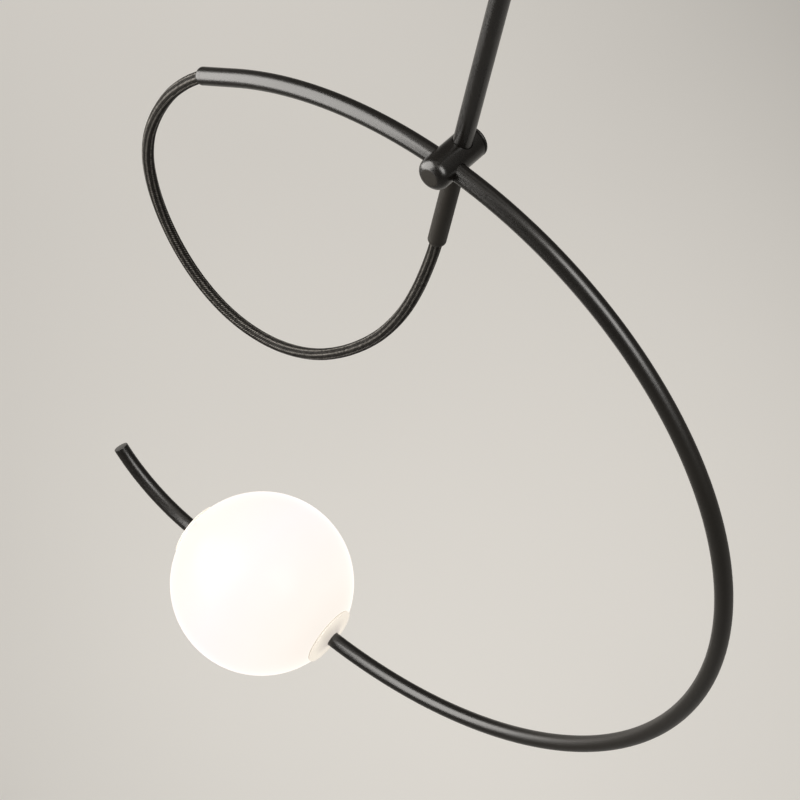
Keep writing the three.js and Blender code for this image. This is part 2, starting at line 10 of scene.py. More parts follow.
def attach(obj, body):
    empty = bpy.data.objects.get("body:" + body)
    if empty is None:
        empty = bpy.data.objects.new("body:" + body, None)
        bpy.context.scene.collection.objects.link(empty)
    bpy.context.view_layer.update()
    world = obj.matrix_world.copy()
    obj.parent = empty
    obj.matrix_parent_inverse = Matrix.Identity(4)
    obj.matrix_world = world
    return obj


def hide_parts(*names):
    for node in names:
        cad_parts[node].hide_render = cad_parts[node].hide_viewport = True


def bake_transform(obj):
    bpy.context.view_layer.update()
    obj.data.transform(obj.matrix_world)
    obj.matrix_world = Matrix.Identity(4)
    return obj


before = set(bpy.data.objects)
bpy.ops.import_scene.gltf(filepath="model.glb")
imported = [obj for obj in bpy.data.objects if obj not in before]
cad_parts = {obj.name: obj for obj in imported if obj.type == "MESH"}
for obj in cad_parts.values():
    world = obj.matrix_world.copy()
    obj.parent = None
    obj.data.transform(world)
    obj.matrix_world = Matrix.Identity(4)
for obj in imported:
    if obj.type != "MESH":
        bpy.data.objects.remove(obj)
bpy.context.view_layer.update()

# Sizes in metres, as in the part's source
MM = 0.001
GAP = 0.3 * MM
OVERRUN = 2 * MM
TUBE_RADIUS = 6.35 * MM
TUBE_WALL = 1.2 * MM
BORE_RADIUS = TUBE_RADIUS - TUBE_WALL
TUBE_HOLE = TUBE_RADIUS + GAP
SPIGOT_RADIUS = BORE_RADIUS - GAP
RING_RADIUS = 296 * MM
RING_PAST_CLAMP = math.radians(34.6)
RING_END_STRAIGHT = 29.1 * MM
RUN_LENGTH = 145 * MM
TAIL_RADIUS = 136 * MM
TAIL_SWEEP = math.radians(41.6)
RING_Y = -14.3 * MM
CLAMP_Z = -330 * MM
STEM_TOP = -30.3 * MM
STEM_BOTTOM = -412.2 * MM
CLAMP_RADIUS = 11.15 * MM
CLAMP_FRONT = 31.75 * MM
CLAMP_BACK = 15.05 * MM
CLAMP_BORE = 7.5 * MM
CABLE_RADIUS = 4.35 * MM
GLOBE_RADIUS = 78 * MM
GLOBE_X = -71 * MM
RING_CENTRE = Vector((0, RING_Y, CLAMP_Z - RING_RADIUS))
GLOBE_CENTRE = Vector((GLOBE_X, RING_Y, CLAMP_Z - 2 * RING_RADIUS))
RING_START = math.pi / 2 + RING_PAST_CLAMP

X_AXIS = Vector((1, 0, 0))
Y_AXIS = Vector((0, 1, 0))
Z_AXIS = Vector((0, 0, 1))
ORIGIN = (0, 0, 0)
CLAMP_CENTRE = (0, 0, CLAMP_Z)


def new_object(name, data):
    """An object of the scene that shows the given data."""
    made = bpy.data.objects.new(name, data)
    bpy.context.scene.collection.objects.link(made)
    return made


# The camera of the photograph
camera_data = bpy.data.cameras.new("camera")
camera_data.sensor_width = 36
camera_data.lens = 97.75817
camera = new_object("camera", camera_data)
camera.location = (0.426787, -0.843372, 0.662307)
camera.rotation_euler = [math.radians(angle) for angle in (35.98278, -8.83768, 38.5795)]
bpy.context.scene.camera = camera


# Making meshes

def smooth_by_angle(mesh, degrees=32):
    """Rounded faces shade smooth, and corners sharper than the angle stay crisp."""
    mesh.shade_smooth()
    mesh.set_sharp_from_angle(angle=math.radians(degrees))


def new_piece(name, vertices, faces, finish=None):
    """A mesh object at the origin, closed and with its faces outwards."""
    mesh = bpy.data.meshes.new(name)
    mesh.from_pydata([tuple(v) for v in vertices], [], faces)
    shell = bmesh.new()
    shell.from_mesh(mesh)
    bmesh.ops.remove_doubles(shell, verts=shell.verts, dist=1e-7)
    bmesh.ops.recalc_face_normals(shell, faces=shell.faces)
    shell.to_mesh(mesh)
    shell.free()
    smooth_by_angle(mesh)
    if finish:
        mesh.materials.append(finish)
    return new_object(name, mesh)


def ends_on_axis(profile):
    """Whether the axis closes a profile, and not a line back to its first point."""
    return profile[0][0] == 0 and profile[-1][0] == 0


def softened(profile, radius, steps=3):
    """The profile with each corner off the axis turned into a small round."""
    nearly_straight = math.radians(160)
    edge_share = 0.45
    count = len(profile)
    soft = []
    for index, point in enumerate(profile):
        here = Vector(point)
        before = Vector(profile[index - 1]) - here
        after = Vector(profile[(index + 1) % count]) - here
        on_end = ends_on_axis(profile) and index in (0, count - 1)
        doubled = min(before.length, after.length) < 1e-7
        if on_end or doubled or before.angle(after) > nearly_straight:
            soft.append(tuple(here))
            continue
        reach = min(radius, before.length * edge_share, after.length * edge_share)
        start = here + before.normalized() * reach
        end = here + after.normalized() * reach
        for step in range(steps + 1):
            t = step / steps
            soft.append(tuple(start * (1 - t) ** 2 + here * 2 * t * (1 - t) + end * t * t))
    return soft


def placing(origin, along):
    """A function that takes points from beside the Z axis to beside another line."""
    turn = Vector(along).to_track_quat("Z", "Y").to_matrix()
    return lambda x, y, z: Vector(origin) + turn @ Vector((x, y, z))


def turned(name, profile, finish=None, origin=ORIGIN, along=Z_AXIS, sides=96, soft=0.2 * MM):
    """A turned piece: the profile of (radius, distance) points spun about a line."""
    place = placing(origin, along)
    vertices = []
    rings = []
    for radius, distance in softened(profile, soft) if soft else profile:
        if radius < 1e-9:
            rings.append([len(vertices)])
            vertices.append(place(0, 0, distance))
            continue
        rings.append(range(len(vertices), len(vertices) + sides))
        for side in range(sides):
            angle = 2 * math.pi * side / sides
            vertices.append(place(radius * math.cos(angle), radius * math.sin(angle), distance))
    faces = []
    following = rings[1:] if ends_on_axis(profile) else rings[1:] + rings[:1]
    for low, high in zip(rings, following):
        for side in range(sides):
            after = (side + 1) % sides
            if len(low) == 1 and len(high) == 1:
                continue
            if len(low) == 1:
                faces.append((low[0], high[after], high[side]))
            elif len(high) == 1:
                faces.append((low[side], low[after], high[0]))
            else:
                faces.append((low[side], low[after], high[after], high[side]))
    return new_piece(name, vertices, faces, finish)


def rod(name, radius, low, high, origin=ORIGIN, along=Z_AXIS, sides=64, finish=None, soft=0):
    """A plain round bar, which is a cutter where it has no finish."""
    profile = [(0, low), (radius, low), (radius, high), (0, high)]
    return turned(name, profile, finish, origin, along, sides, soft)


def quarter(radius, distance, reach, start, end, steps=8):
    """Points of a rounding in a profile, between two angles in degrees."""
    points = []
    for step in range(steps + 1):
        angle = math.radians(start + (end - start) * step / steps)
        points.append((radius + reach * math.cos(angle), distance + reach * math.sin(angle)))
    return points


def prism(name, outline, low, high, origin=ORIGIN, along=Z_AXIS, finish=None):
    """A straight bar with the outline's section, along a line."""
    place = placing(origin, along)
    count = len(outline)
    vertices = [place(x, y, level) for level in (low, high) for x, y in outline]
    faces = [tuple(range(count))[::-1], tuple(range(count, 2 * count))]
    for index in range(count):
        after = (index + 1) % count
        faces.append((index, after, after + count, index + count))
    return new_piece(name, vertices, faces, finish)


def polygon(across_flats, sides=6):
    """The corners of a regular polygon."""
    reach = across_flats / 2 / math.cos(math.pi / sides)
    angles = [2 * math.pi * i / sides for i in range(sides)]
    return [(reach * math.cos(angle), reach * math.sin(angle)) for angle in angles]


def round_cornered(length, width, corner, steps=6):
    """The outline of a bar with rounded corners."""
    points = []
    for x, y, start in ((1, 1, 0), (-1, 1, 90), (-1, -1, 180), (1, -1, 270)):
        middle = (x * (length / 2 - corner), y * (width / 2 - corner))
        points += quarter(*middle, corner, start, start + 90, steps)
    return points


def settle(piece, smooth=True):
    """Bakes a piece's modifiers into its mesh."""
    graph = bpy.context.evaluated_depsgraph_get()
    mesh = bpy.data.meshes.new_from_object(piece.evaluated_get(graph), depsgraph=graph)
    piece.modifiers.clear()
    old = piece.data
    piece.data = mesh
    mesh.name = piece.name
    bpy.data.meshes.remove(old)
    if smooth:
        smooth_by_angle(mesh)
    return piece


def drop(piece):
    """Takes a piece that is used up out of the scene."""
    bpy.data.objects.remove(piece)


def cut_away(piece, *cutters):
    """The piece less its cutters, which are used up."""
    for cutter in cutters:
        step = piece.modifiers.new("cut", "BOOLEAN")
        step.operation = "DIFFERENCE"
        step.solver = "EXACT"
        step.object = cutter
    bpy.context.view_layer.update()
    settle(piece)
    for cutter in cutters:
        drop(cutter)
    return piece


def ease_edges(piece, width, segments=3, degrees=35):
    """A fine round on the piece's sharp edges, which leaves the faces beside them flat."""
    step = piece.modifiers.new("ease", "BEVEL")
    step.width = width
    step.segments = segments
    step.limit_method = "ANGLE"
    step.angle_limit = math.radians(degrees)
    step.use_clamp_overlap = True
    step.harden_normals = True
    return settle(piece, False)


def merged(name, *pieces):
    """Several closed pieces as one object."""
    whole = bmesh.new()
    for piece in pieces:
        whole.from_mesh(piece.data)
    mesh = bpy.data.meshes.new(name)
    whole.to_mesh(mesh)
    whole.free()
    for material in pieces[0].data.materials:
        mesh.materials.append(material)
    smooth_by_angle(mesh)
    for piece in pieces:
        drop(piece)
    return new_object(name, mesh)


def place_piece(piece, body, slot, *nodes):
    """Puts a finished piece on its body, in place of the CAD nodes that it stands for."""
    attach(piece, body)
    if nodes:
        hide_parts(*nodes)


# Geometry Nodes

def new_tree(name, inputs):
    """An empty tree with a geometry output and the named inputs."""
    tree = bpy.data.node_groups.new(name, "GeometryNodeTree")
    tree.interface.new_socket("Geometry", in_out="INPUT", socket_type="NodeSocketGeometry")
    for label, kind in inputs:
        tree.interface.new_socket(label, in_out="INPUT", socket_type="NodeSocket" + kind)
    tree.interface.new_socket("Geometry", in_out="OUTPUT", socket_type="NodeSocketGeometry")
    return tree


def add(tree, kind, **values):
    """A node with its properties and its input values set; a link where the value is a socket."""
    node = tree.nodes.new(kind)
    for key, value in values.items():
        if hasattr(node, key) and key not in node.inputs:
            setattr(node, key, value)
            continue
        socket = node.inputs[key.replace("_", " ")] if key not in node.inputs else node.inputs[key]
        if isinstance(value, bpy.types.NodeSocket):
            tree.links.new(value, socket)
        else:
            socket.default_value = value
    return node


def finish_tree(tree, geometry, finish):
    """Ends a tree in real geometry with its material."""
    real = tree.nodes.new("GeometryNodeRealizeInstances")
    paint = tree.nodes.new("GeometryNodeSetMaterial")
    out = tree.nodes.new("NodeGroupOutput")
    tree.links.new(geometry, real.inputs[0])
    tree.links.new(real.outputs[0], paint.inputs["Geometry"])
    tree.links.new(finish, paint.inputs["Material"])
    tree.links.new(paint.outputs[0], out.inputs[0])


def grown(name, tree, values, points=(), edges=()):
    """A plain mesh grown by a tree from points and edges."""
    mesh = bpy.data.meshes.new(name)
    mesh.from_pydata([tuple(p) for p in points], list(edges), [])
    piece = new_object(name, mesh)
    step = piece.modifiers.new("grow", "NODES")
    step.node_group = tree
    sockets = {s.name: s.identifier for s in tree.interface.items_tree if s.in_out == "INPUT"}
    for label, value in values.items():
        step[sockets[label]] = value
    bpy.context.view_layer.update()
    return settle(piece)


def tube_tree():
    """A tube's skin along a line of points."""
    tree = new_tree("tube along a line", [("Radius", "Float"), ("Sides", "Int"), ("Finish", "Material")])
    given = tree.nodes.new("NodeGroupInput").outputs
    line = add(tree, "GeometryNodeMeshToCurve", Mesh=given["Geometry"]).outputs[0]
    ring = add(tree, "GeometryNodeCurvePrimitiveCircle", mode="RADIUS", Radius=given["Radius"])
    tree.links.new(given["Sides"], ring.inputs["Resolution"])
    skin = add(tree, "GeometryNodeCurveToMesh", Curve=line, Profile_Curve=ring.outputs["Curve"])
    finish_tree(tree, skin.outputs[0], given["Finish"])
    return tree


TUBE_TREE = tube_tree()


def tube(name, line, finish, radius, wall=0, sides=64, ease=0):
    """A drawn tube along a line of points, with a real wall and eased ends; a rod where wall is 0."""
    edges = [(i, i + 1) for i in range(len(line) - 1)]
    piece = grown(name, TUBE_TREE, {"Radius": radius, "Sides": sides, "Finish": finish}, line, edges)
    shell = bmesh.new()
    shell.from_mesh(piece.data)
    if not wall:
        bmesh.ops.holes_fill(shell, edges=[e for e in shell.edges if e.is_boundary], sides=0)
    bmesh.ops.recalc_face_normals(shell, faces=shell.faces)
    middle = line[len(line) // 2]
    nearest = min(shell.faces, key=lambda face: (face.calc_center_median() - middle).length)
    if wall and nearest.normal.dot(nearest.calc_center_median() - middle) < 0:
        bmesh.ops.reverse_faces(shell, faces=shell.faces)
    shell.to_mesh(piece.data)
    shell.free()
    if wall:
        step = piece.modifiers.new("wall", "SOLIDIFY")
        step.thickness = wall
        step.offset = -1
        step.use_even_offset = True
        settle(piece)
    return ease_edges(piece, ease, 2, 50) if ease else piece


# Materials

DARK = (0, 0, 0)


def new_finish(name, colour, roughness, metallic=0.0, **sockets):
    """A material with one Principled shader, and its node tree for more."""
    material = bpy.data.materials.new(name)
    material.use_nodes = True
    tree = material.node_tree
    shader = tree.nodes["Principled BSDF"]
    shader.inputs["Base Color"].default_value = (*colour, 1)
    shader.inputs["Roughness"].default_value = roughness
    shader.inputs["Metallic"].default_value = metallic
    for key, value in sockets.items():
        shader.inputs[key.replace("_", " ")].default_value = value
    return material, tree, shader


def noise(tree, spot, scale, detail=2.0, roughness=0.5):
    """Noise of a given scale, mostly between 0.3 and 0.7."""
    node = add(tree, "ShaderNodeTexNoise", Vector=spot, Scale=scale, Detail=detail, Roughness=roughness)
    return node.outputs["Fac"]


def ramp(tree, value, low, high, out_low, out_high, way="LINEAR"):
    """A value taken from one range to another, and held at its ends."""
    node = tree.nodes.new("ShaderNodeMapRange")
    node.interpolation_type = way
    for index, number in enumerate((low, high, out_low, out_high), start=1):
        node.inputs[index].default_value = number
    tree.links.new(value, node.inputs[0])
    return node.outputs[0]


def spread(tree, grain, low, high):
    """A noise's middle range, taken to another."""
    return ramp(tree, grain, 0.3, 0.7, low, high)


def mottle(tree, spot, scale, low, high):
    """Soft patches between two values."""
    return spread(tree, noise(tree, spot, scale), low, high)


def blend_colours(tree, share, first, second):
    """One colour at share 0 and the other at share 1."""
    node = tree.nodes.new("ShaderNodeMix")
    node.data_type = "RGBA"
    tree.links.new(share, node.inputs[0])
    for socket, colour in ((node.inputs[6], first), (node.inputs[7], second)):
        if isinstance(colour, bpy.types.NodeSocket):
            tree.links.new(colour, socket)
        else:
            socket.default_value = (*colour, 1)
    return node.outputs[2]


def reckon(tree, operation, *values):
    """One step of arithmetic."""
    node = tree.nodes.new("ShaderNodeMath")
    node.operation = operation
    for index, value in enumerate(values):
        if isinstance(value, bpy.types.NodeSocket):
            tree.links.new(value, node.inputs[index])
        else:
            node.inputs[index].default_value = value
    return node.outputs[0]


def total(tree, first, *others):
    """The sum of all the values."""
    for other in others:
        first = reckon(tree, "ADD", first, other)
    return first


def product(tree, first, *others):
    """All the values multiplied."""
    for other in others:
        first = reckon(tree, "MULTIPLY", first, other)
    return first


def length_of(tree, across, along):
    """The length of two offsets at right angles."""
    return reckon(tree, "SQRT", total(tree, product(tree, across, across), product(tree, along, along)))


def relief(tree, height, strength, distance, before=None):
    """A bump, on top of the one before it."""
    node = add(tree, "ShaderNodeBump", Height=height, Strength=strength, Distance=distance)
    if before:
        tree.links.new(before, node.inputs["Normal"])
    return node.outputs["Normal"]


def drive(tree, shader, **sockets):
    """Links values to the shader's sockets of those names."""
    for key, value in sockets.items():
        tree.links.new(value, shader.inputs[key.replace("_", " ")])


def places(tree, stretch=(1, 1, 1)):
    """Object coordinates, stretched along the axes."""
    spot = tree.nodes.new("ShaderNodeTexCoord").outputs["Object"]
    return add(tree, "ShaderNodeMapping", Vector=spot, Scale=stretch).outputs[0]


def places_and_axes(tree):
    """Object coordinates, whole and along each axis."""
    spot = tree.nodes.new("ShaderNodeTexCoord").outputs["Object"]
    return spot, add(tree, "ShaderNodeSeparateXYZ", Vector=spot).outputs


def powder_coat(name="black powder coat", axis=0, start=0, full=0, dullness=0):
    """Satin black powder coat with a fine mottled grain, duller from start to full along an axis."""
    material, tree, shader = new_finish(name, (0.006, 0.005, 0.004), 0.30, Specular_IOR_Level=0.95)
    spot = places(tree)
    grain = noise(tree, spot, 1500, 2, 0.55)
    clouds = noise(tree, spot, 520, 3, 0.6)
    share = spread(tree, clouds, 0, 1)
    colour = blend_colours(tree, share, (0.0028, 0.0022, 0.0016), (0.0070, 0.0057, 0.0043))
    rough = total(tree, spread(tree, grain, 0.26, 0.35), mottle(tree, spot, 30, -0.02, 0.02))
    if dullness:
        place = add(tree, "ShaderNodeSeparateXYZ", Vector=spot).outputs[axis]
        ends = (0, dullness) if full > start else (dullness, 0)
        dull = ramp(tree, place, min(start, full), max(start, full), *ends)
        rough = total(tree, rough, product(tree, dull, 0.24))
        colour = blend_colours(tree, dull, colour, (0.024, 0.021, 0.017))
        drive(tree, shader, Specular_IOR_Level=ramp(tree, dull, 0, 1, 0.95, 0.35))
    normal = relief(tree, grain, 0.3, 0.05 * MM)
    normal = relief(tree, clouds, 0.35, 0.1 * MM, normal)
    drive(tree, shader, Base_Color=colour, Roughness=rough, Normal=normal)
    return material


def opal_glass():
    """Opal glass lit from inside, a little darker round the two openings."""
    material, tree, shader = new_finish(
        "lit opal glass", (0.045, 0.043, 0.040), 0.30, Specular_IOR_Level=0.12, Emission_Strength=1.01
    )
    spot, place = places_and_axes(tree)
    out = reckon(tree, "ABSOLUTE", reckon(tree, "SUBTRACT", place[0], GLOBE_X))
    edge = ramp(tree, out, 55 * MM, GLOBE_RADIUS, 1.0, 0.95, "SMOOTHSTEP")
    glow = product(tree, edge, mottle(tree, spot, 22, 0.985, 1.0))
    warm = ramp(tree, out, 0, 70 * MM, 0, 1)
    tint = blend_colours(tree, warm, (1.0, 0.922, 0.910), (1.0, 0.925, 0.850))
    light = blend_colours(tree, glow, DARK, tint)
    ripple = noise(tree, spot, 60)
    drive(tree, shader, Emission_Color=light, Normal=relief(tree, ripple, 0.05, 0.3 * MM))
    return material


def cap_plastic_with_painted_glow():
    """White moulded plastic with a painted glow, most near its edge, and painted shade towards the tube."""
    material, tree, shader = new_finish(
        "white moulded plastic with painted glow", (0.42, 0.40, 0.37), 0.4, Emission_Strength=1.0
    )
    spot, place = places_and_axes(tree)
    across = reckon(tree, "SUBTRACT", place[1], GLOBE_CENTRE.y)
    up = reckon(tree, "SUBTRACT", place[2], GLOBE_CENTRE.z)
    # Painted glow: the emission is brightest at the cap's edge, and painted shade darkens it towards the
    # tube
    share = ramp(tree, length_of(tree, across, up), 7 * MM, 20 * MM, 0, 1)
    glow = blend_colours(tree, share, (0.48, 0.435, 0.395), (0.715, 0.65, 0.56))
    light = blend_colours(tree, mottle(tree, spot, 90, 0.97, 1.0), DARK, glow)
    peel = noise(tree, spot, 700)
    normal = relief(tree, peel, 0.1, 0.04 * MM)
    drive(tree, shader, Emission_Color=light, Roughness=spread(tree, peel, 0.34, 0.46), Normal=normal)
    return material


def silicone_with_painted_glow():
    """Clear silicone with a painted glow that stands in for the globe's light round its rim."""
    material, tree, shader = new_finish(
        "clear silicone", (0.42, 0.40, 0.36), 0.38, Emission_Strength=0.62
    )
    spot = places(tree)
    # Painted glow: an emission colour all round the seal
    light = blend_colours(tree, mottle(tree, spot, 160, 0.92, 1.0), DARK, (0.80, 0.72, 0.62))
    skin = noise(tree, spot, 900)
    normal = relief(tree, skin, 0.1, 0.03 * MM)
    drive(tree, shader, Emission_Color=light, Roughness=spread(tree, skin, 0.32, 0.44), Normal=normal)
    return material


def metal(name, dark, light, rough_low, rough_high, stretch):
    """A machined or plated metal with fine marks along one axis."""
    material, tree, shader = new_finish(name, light, 0.35, 1.0)
    marks = noise(tree, places(tree, stretch), 900, 3, 0.6)
    cloud = noise(tree, places(tree), 90)
    share = ramp(tree, total(tree, marks, cloud), 0.75, 1.25, 0, 1)
    rough = spread(tree, marks, rough_low, rough_high)
    normal = relief(tree, marks, 0.2, 0.04 * MM)
    drive(tree, shader, Base_Color=blend_colours(tree, share, dark, light), Roughness=rough, Normal=normal)
    return material


def plastic(name, dark, light, roughness):
    """Moulded plastic or rubber with a fine texture."""
    material, tree, shader = new_finish(name, light, roughness)
    spot = places(tree)
    grain = noise(tree, spot, 1100, 2, 0.55)
    colour = blend_colours(tree, mottle(tree, spot, 70, 0, 1), dark, light)
    rough = spread(tree, grain, roughness - 0.06, roughness + 0.06)
    normal = relief(tree, grain, 0.2, 0.05 * MM)
    drive(tree, shader, Base_Color=colour, Roughness=rough, Normal=normal)
    return material


def braid(carriers, pitch):
    """Black textile braid, two over and two under, so that its floats lie in columns along the cable.

    The yarns lean one way in one column and the other way in the next; one column is painted lighter than
    the next as a painted sheen.
    """
    material, tree, shader = new_finish("black textile braid", (0.014, 0.013, 0.012), 0.5)
    uv = add(tree, "ShaderNodeUVMap", uv_map="UVMap").outputs[0]
    place = add(tree, "ShaderNodeSeparateXYZ", Vector=uv).outputs
    turns = product(tree, place[0], carriers)
    steps = product(tree, place[1], 1 / pitch)
    right = total(tree, turns, steps)
    left = reckon(tree, "SUBTRACT", turns, steps)
    right_yarn = reckon(tree, "FLOOR", right)
    left_yarn = reckon(tree, "FLOOR", left)
    column = reckon(tree, "FLOORED_MODULO", total(tree, right_yarn, left_yarn), 4)
    right_on_top = reckon(tree, "LESS_THAN", column, 1.5)

    def hump(share, power):
        middle = reckon(tree, "ABSOLUTE", reckon(tree, "SUBTRACT", product(tree, share, 2), 1))
        return reckon(tree, "SUBTRACT", 1, reckon(tree, "POWER", middle, power))

    def float_height(phase, crossing, offset):
        run = reckon(tree, "FLOORED_MODULO", crossing, 4)
        run = product(tree, reckon(tree, "SUBTRACT", run, offset), 0.5)
        return product(tree, hump(reckon(tree, "FRACT", phase), 2), hump(run, 4))

    top = tree.nodes.new("ShaderNodeMix")
    top.data_type = "FLOAT"
    tree.links.new(right_on_top, top.inputs[0])
    tree.links.new(float_height(left, total(tree, right, left_yarn), 2), top.inputs[2])
    tree.links.new(float_height(right, total(tree, left, right_yarn), 0), top.inputs[3])
    height = top.outputs[0]
    fibre = noise(tree, places(tree), 3500, 2, 0.6)
    speckle = noise(tree, places(tree), 520, 1)
    # Painted sheen and highlight: one column and the floats' crests are lighter, with painted shade in the
    # dips; fibre and speckle vary the tone at random
    yarn_tone_and_painted_sheen = product(
        tree,
        ramp(tree, right_on_top, 0, 1, 0.2, 1.0),
        ramp(tree, height, 0.3, 0.8, 0, 1),
        spread(tree, fibre, 0.7, 1.0),
        spread(tree, speckle, 0.45, 1.3),
    )
    normal = relief(tree, fibre, 0.3, 0.04 * MM)
    drive(
        tree,
        shader,
        Base_Color=blend_colours(tree, yarn_tone_and_painted_sheen, (0.0035, 0.0030, 0.0025), (0.185, 0.172, 0.154)),
        Roughness=ramp(tree, yarn_tone_and_painted_sheen, 0, 1, 0.7, 0.42),
        Specular_IOR_Level=ramp(tree, yarn_tone_and_painted_sheen, 0, 1, 0.05, 0.6),
        Normal=relief(tree, height, 0.8, 0.22 * MM, normal),
    )
    return material


UNDER_CLAMP = CLAMP_Z - CLAMP_RADIUS
NOSE_FACE = -CLAMP_FRONT
POWDER = powder_coat()
STEM_POWDER = powder_coat("black powder coat of the stem", 2, UNDER_CLAMP, UNDER_CLAMP - 5 * MM, 1)
RING_POWDER = powder_coat("black powder coat of the ring", 0, 150 * MM, 225 * MM, 0.5)
CLAMP_POWDER = powder_coat(
    "black powder coat of the clamp", 1, NOSE_FACE + 0.20 * MM, NOSE_FACE + 0.05 * MM, 1
)
OPAL = opal_glass()
CAP_PLASTIC = cap_plastic_with_painted_glow()
ZINC = metal("zinc plated steel", (0.42, 0.43, 0.43), (0.62, 0.63, 0.64), 0.28, 0.42, (1, 1, 0.2))
ALUMINIUM = metal("extruded aluminium", (0.66, 0.66, 0.67), (0.80, 0.80, 0.81), 0.30, 0.42, (0.05, 1, 1))
BRASS = metal("turned brass", (0.52, 0.36, 0.14), (0.72, 0.53, 0.25), 0.22, 0.36, (1, 1, 0.2))
WHITE_PLASTIC = plastic("white moulded plastic", (0.74, 0.73, 0.70), (0.80, 0.79, 0.76), 0.48)
SHEATH = plastic("silicone sleeve", (0.66, 0.64, 0.60), (0.74, 0.72, 0.68), 0.55)
SILICONE = silicone_with_painted_glow()
PHOSPHOR = plastic("light source phosphor", (0.85, 0.66, 0.22), (0.92, 0.76, 0.34), 0.4)

# The cable

CABLE_ROUTE = [
    (0, 0, -81), (0, 0, -88), (-0.6, 0, -102), (-2, -0.1, -120), (-4.6, -0.2, -142),
    (-9, -0.6, -166), (-15.5, -0.9, -189), (-24.5, -1.3, -212), (-36.5, -1.9, -234.4),
    (-51.5, -2.6, -256), (-69, -3.4, -274.7), (-88, -4.2, -288.2), (-108, -5.1, -296.5),
    (-128, -6, -299.5), (-148, -7, -297.5), (-167, -8.1, -290.3), (-184.1, -9.2, -279),
    (-199.2, -10.2, -264.6), (-212.6, -11.1, -247.4), (-223.4, -11.9, -228.7),
    (-231.4, -12.6, -208.6), (-236.2, -13.1, -187.5), (-236.5, -13.6, -164.6),
    (-233, -13.9, -144.1), (-227.3, -14.1, -125), (-219.4, -14.2, -106.2),
    (-210, -14.3, -90.3), (-205.2, -14.3, -83.5), (-200.4, -14.3, -77.4),
    (-195.9, -14.3, -72.1), (-193.6, -14.3, -70), (-191.2, -14.3, -68.3),
]


def smooth_line(knots, steps=12):
    """A centripetal curve through the knots, as dense points."""
    knots = [np.array(k, float) for k in knots]
    padded = [2 * knots[0] - knots[1], *knots, 2 * knots[-1] - knots[-2]]
    points = []
    for index in range(len(knots) - 1):
        p0, p1, p2, p3 = padded[index:index + 4]
        t0 = 0.0
        t1 = t0 + math.sqrt(np.linalg.norm(p1 - p0))
        t2 = t1 + math.sqrt(np.linalg.norm(p2 - p1))
        t3 = t2 + math.sqrt(np.linalg.norm(p3 - p2))
        for step in range(steps):
            t = t1 + (t2 - t1) * step / steps
            a1 = (t1 - t) / (t1 - t0) * p0 + (t - t0) / (t1 - t0) * p1
            a2 = (t2 - t) / (t2 - t1) * p1 + (t - t1) / (t2 - t1) * p2
            a3 = (t3 - t) / (t3 - t2) * p2 + (t - t2) / (t3 - t2) * p3
            b1 = (t2 - t) / (t2 - t0) * a1 + (t - t0) / (t2 - t0) * a2
            b2 = (t3 - t) / (t3 - t1) * a2 + (t - t1) / (t3 - t1) * a3
            points.append((t2 - t) / (t2 - t1) * b1 + (t - t1) / (t2 - t1) * b2)
    points.append(knots[-1])
    return np.array(points)


def even_line(points, spacing):
    """The same line with evenly spaced points, and its length."""
    reach = np.r_[0, np.cumsum(np.linalg.norm(np.diff(points, axis=0), axis=1))]
    count = int(round(reach[-1] / spacing))
    marks = np.linspace(0, reach[-1], count + 1)
    line = np.array([np.interp(marks, reach, points[:, axis]) for axis in range(3)]).T
    return line, reach[-1]


BRAID_WANDER = 0.018
BRAID_LONG_WAVE = 47 * MM
BRAID_SHORT_WAVE = 19 * MM


def braid_drift(reach):
    """How far the braid has wandered round the cable, in turns."""
    return BRAID_WANDER * (math.sin(reach / BRAID_LONG_WAVE) + 0.6 * math.sin(reach / BRAID_SHORT_WAVE + 1))


def cable_skin(name, line, radius, sides, finish):
    """A tube along the line with a UV map of turns around and metres along, which wanders a little."""
    tangents = np.gradient(line, axis=0)
    tangents /= np.linalg.norm(tangents, axis=1)[:, None]
    side = np.cross(tangents[0], Y_AXIS)
    side /= np.linalg.norm(side)
    vertices = []
    for place, tangent in zip(line, tangents):
        side = side - (side @ tangent) * tangent
        side /= np.linalg.norm(side)
        other = np.cross(tangent, side)
        for index in range(sides):
            angle = 2 * math.pi * index / sides
            vertices.append(place + radius * (math.cos(angle) * side + math.sin(angle) * other))
    rows = len(line)
    faces = []
    maps = []
    spacing = np.linalg.norm(line[1] - line[0])
    drifts = [braid_drift(row * spacing) for row in range(rows)]
    for row in range(rows - 1):
        low, high = row * sides, (row + 1) * sides
        for index in range(sides):
            after = (index + 1) % sides
            faces.append((low + index, low + after, high + after, high + index))
            for u, v in ((index, row), (index + 1, row), (index + 1, row + 1), (index, row + 1)):
                maps.append((u / sides + drifts[v], v * spacing))
    faces.append(tuple(range(sides))[::-1])
    faces.append(tuple(range((rows - 1) * sides, rows * sides)))
    maps += [(0, 0)] * (2 * sides)
    mesh = bpy.data.meshes.new(name)
    mesh.from_pydata([tuple(v) for v in vertices], [], faces)
    layer = mesh.uv_layers.new(name="UVMap")
    layer.data.foreach_set("uv", np.array(maps, np.float32).ravel())
    smooth_by_angle(mesh)
    mesh.materials.append(finish)
    return new_object(name, mesh)


BRAID = braid(16, 1.8 * MM)
route = [Vector(p) * MM + Vector((0, 0, CLAMP_Z)) for p in CABLE_ROUTE]
cable_line, cable_length = even_line(smooth_line(route), 1.0 * MM)
cable = cable_skin("braided_cable", cable_line, CABLE_RADIUS, 48, BRAID)
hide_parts("textile_cable")
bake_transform(cable)


# Tubes

END_EASE = 0.04 * MM


def ring_point(angle):
    """A point on the ring's middle line."""
    return RING_CENTRE + RING_RADIUS * Vector((math.cos(angle), 0, math.sin(angle)))


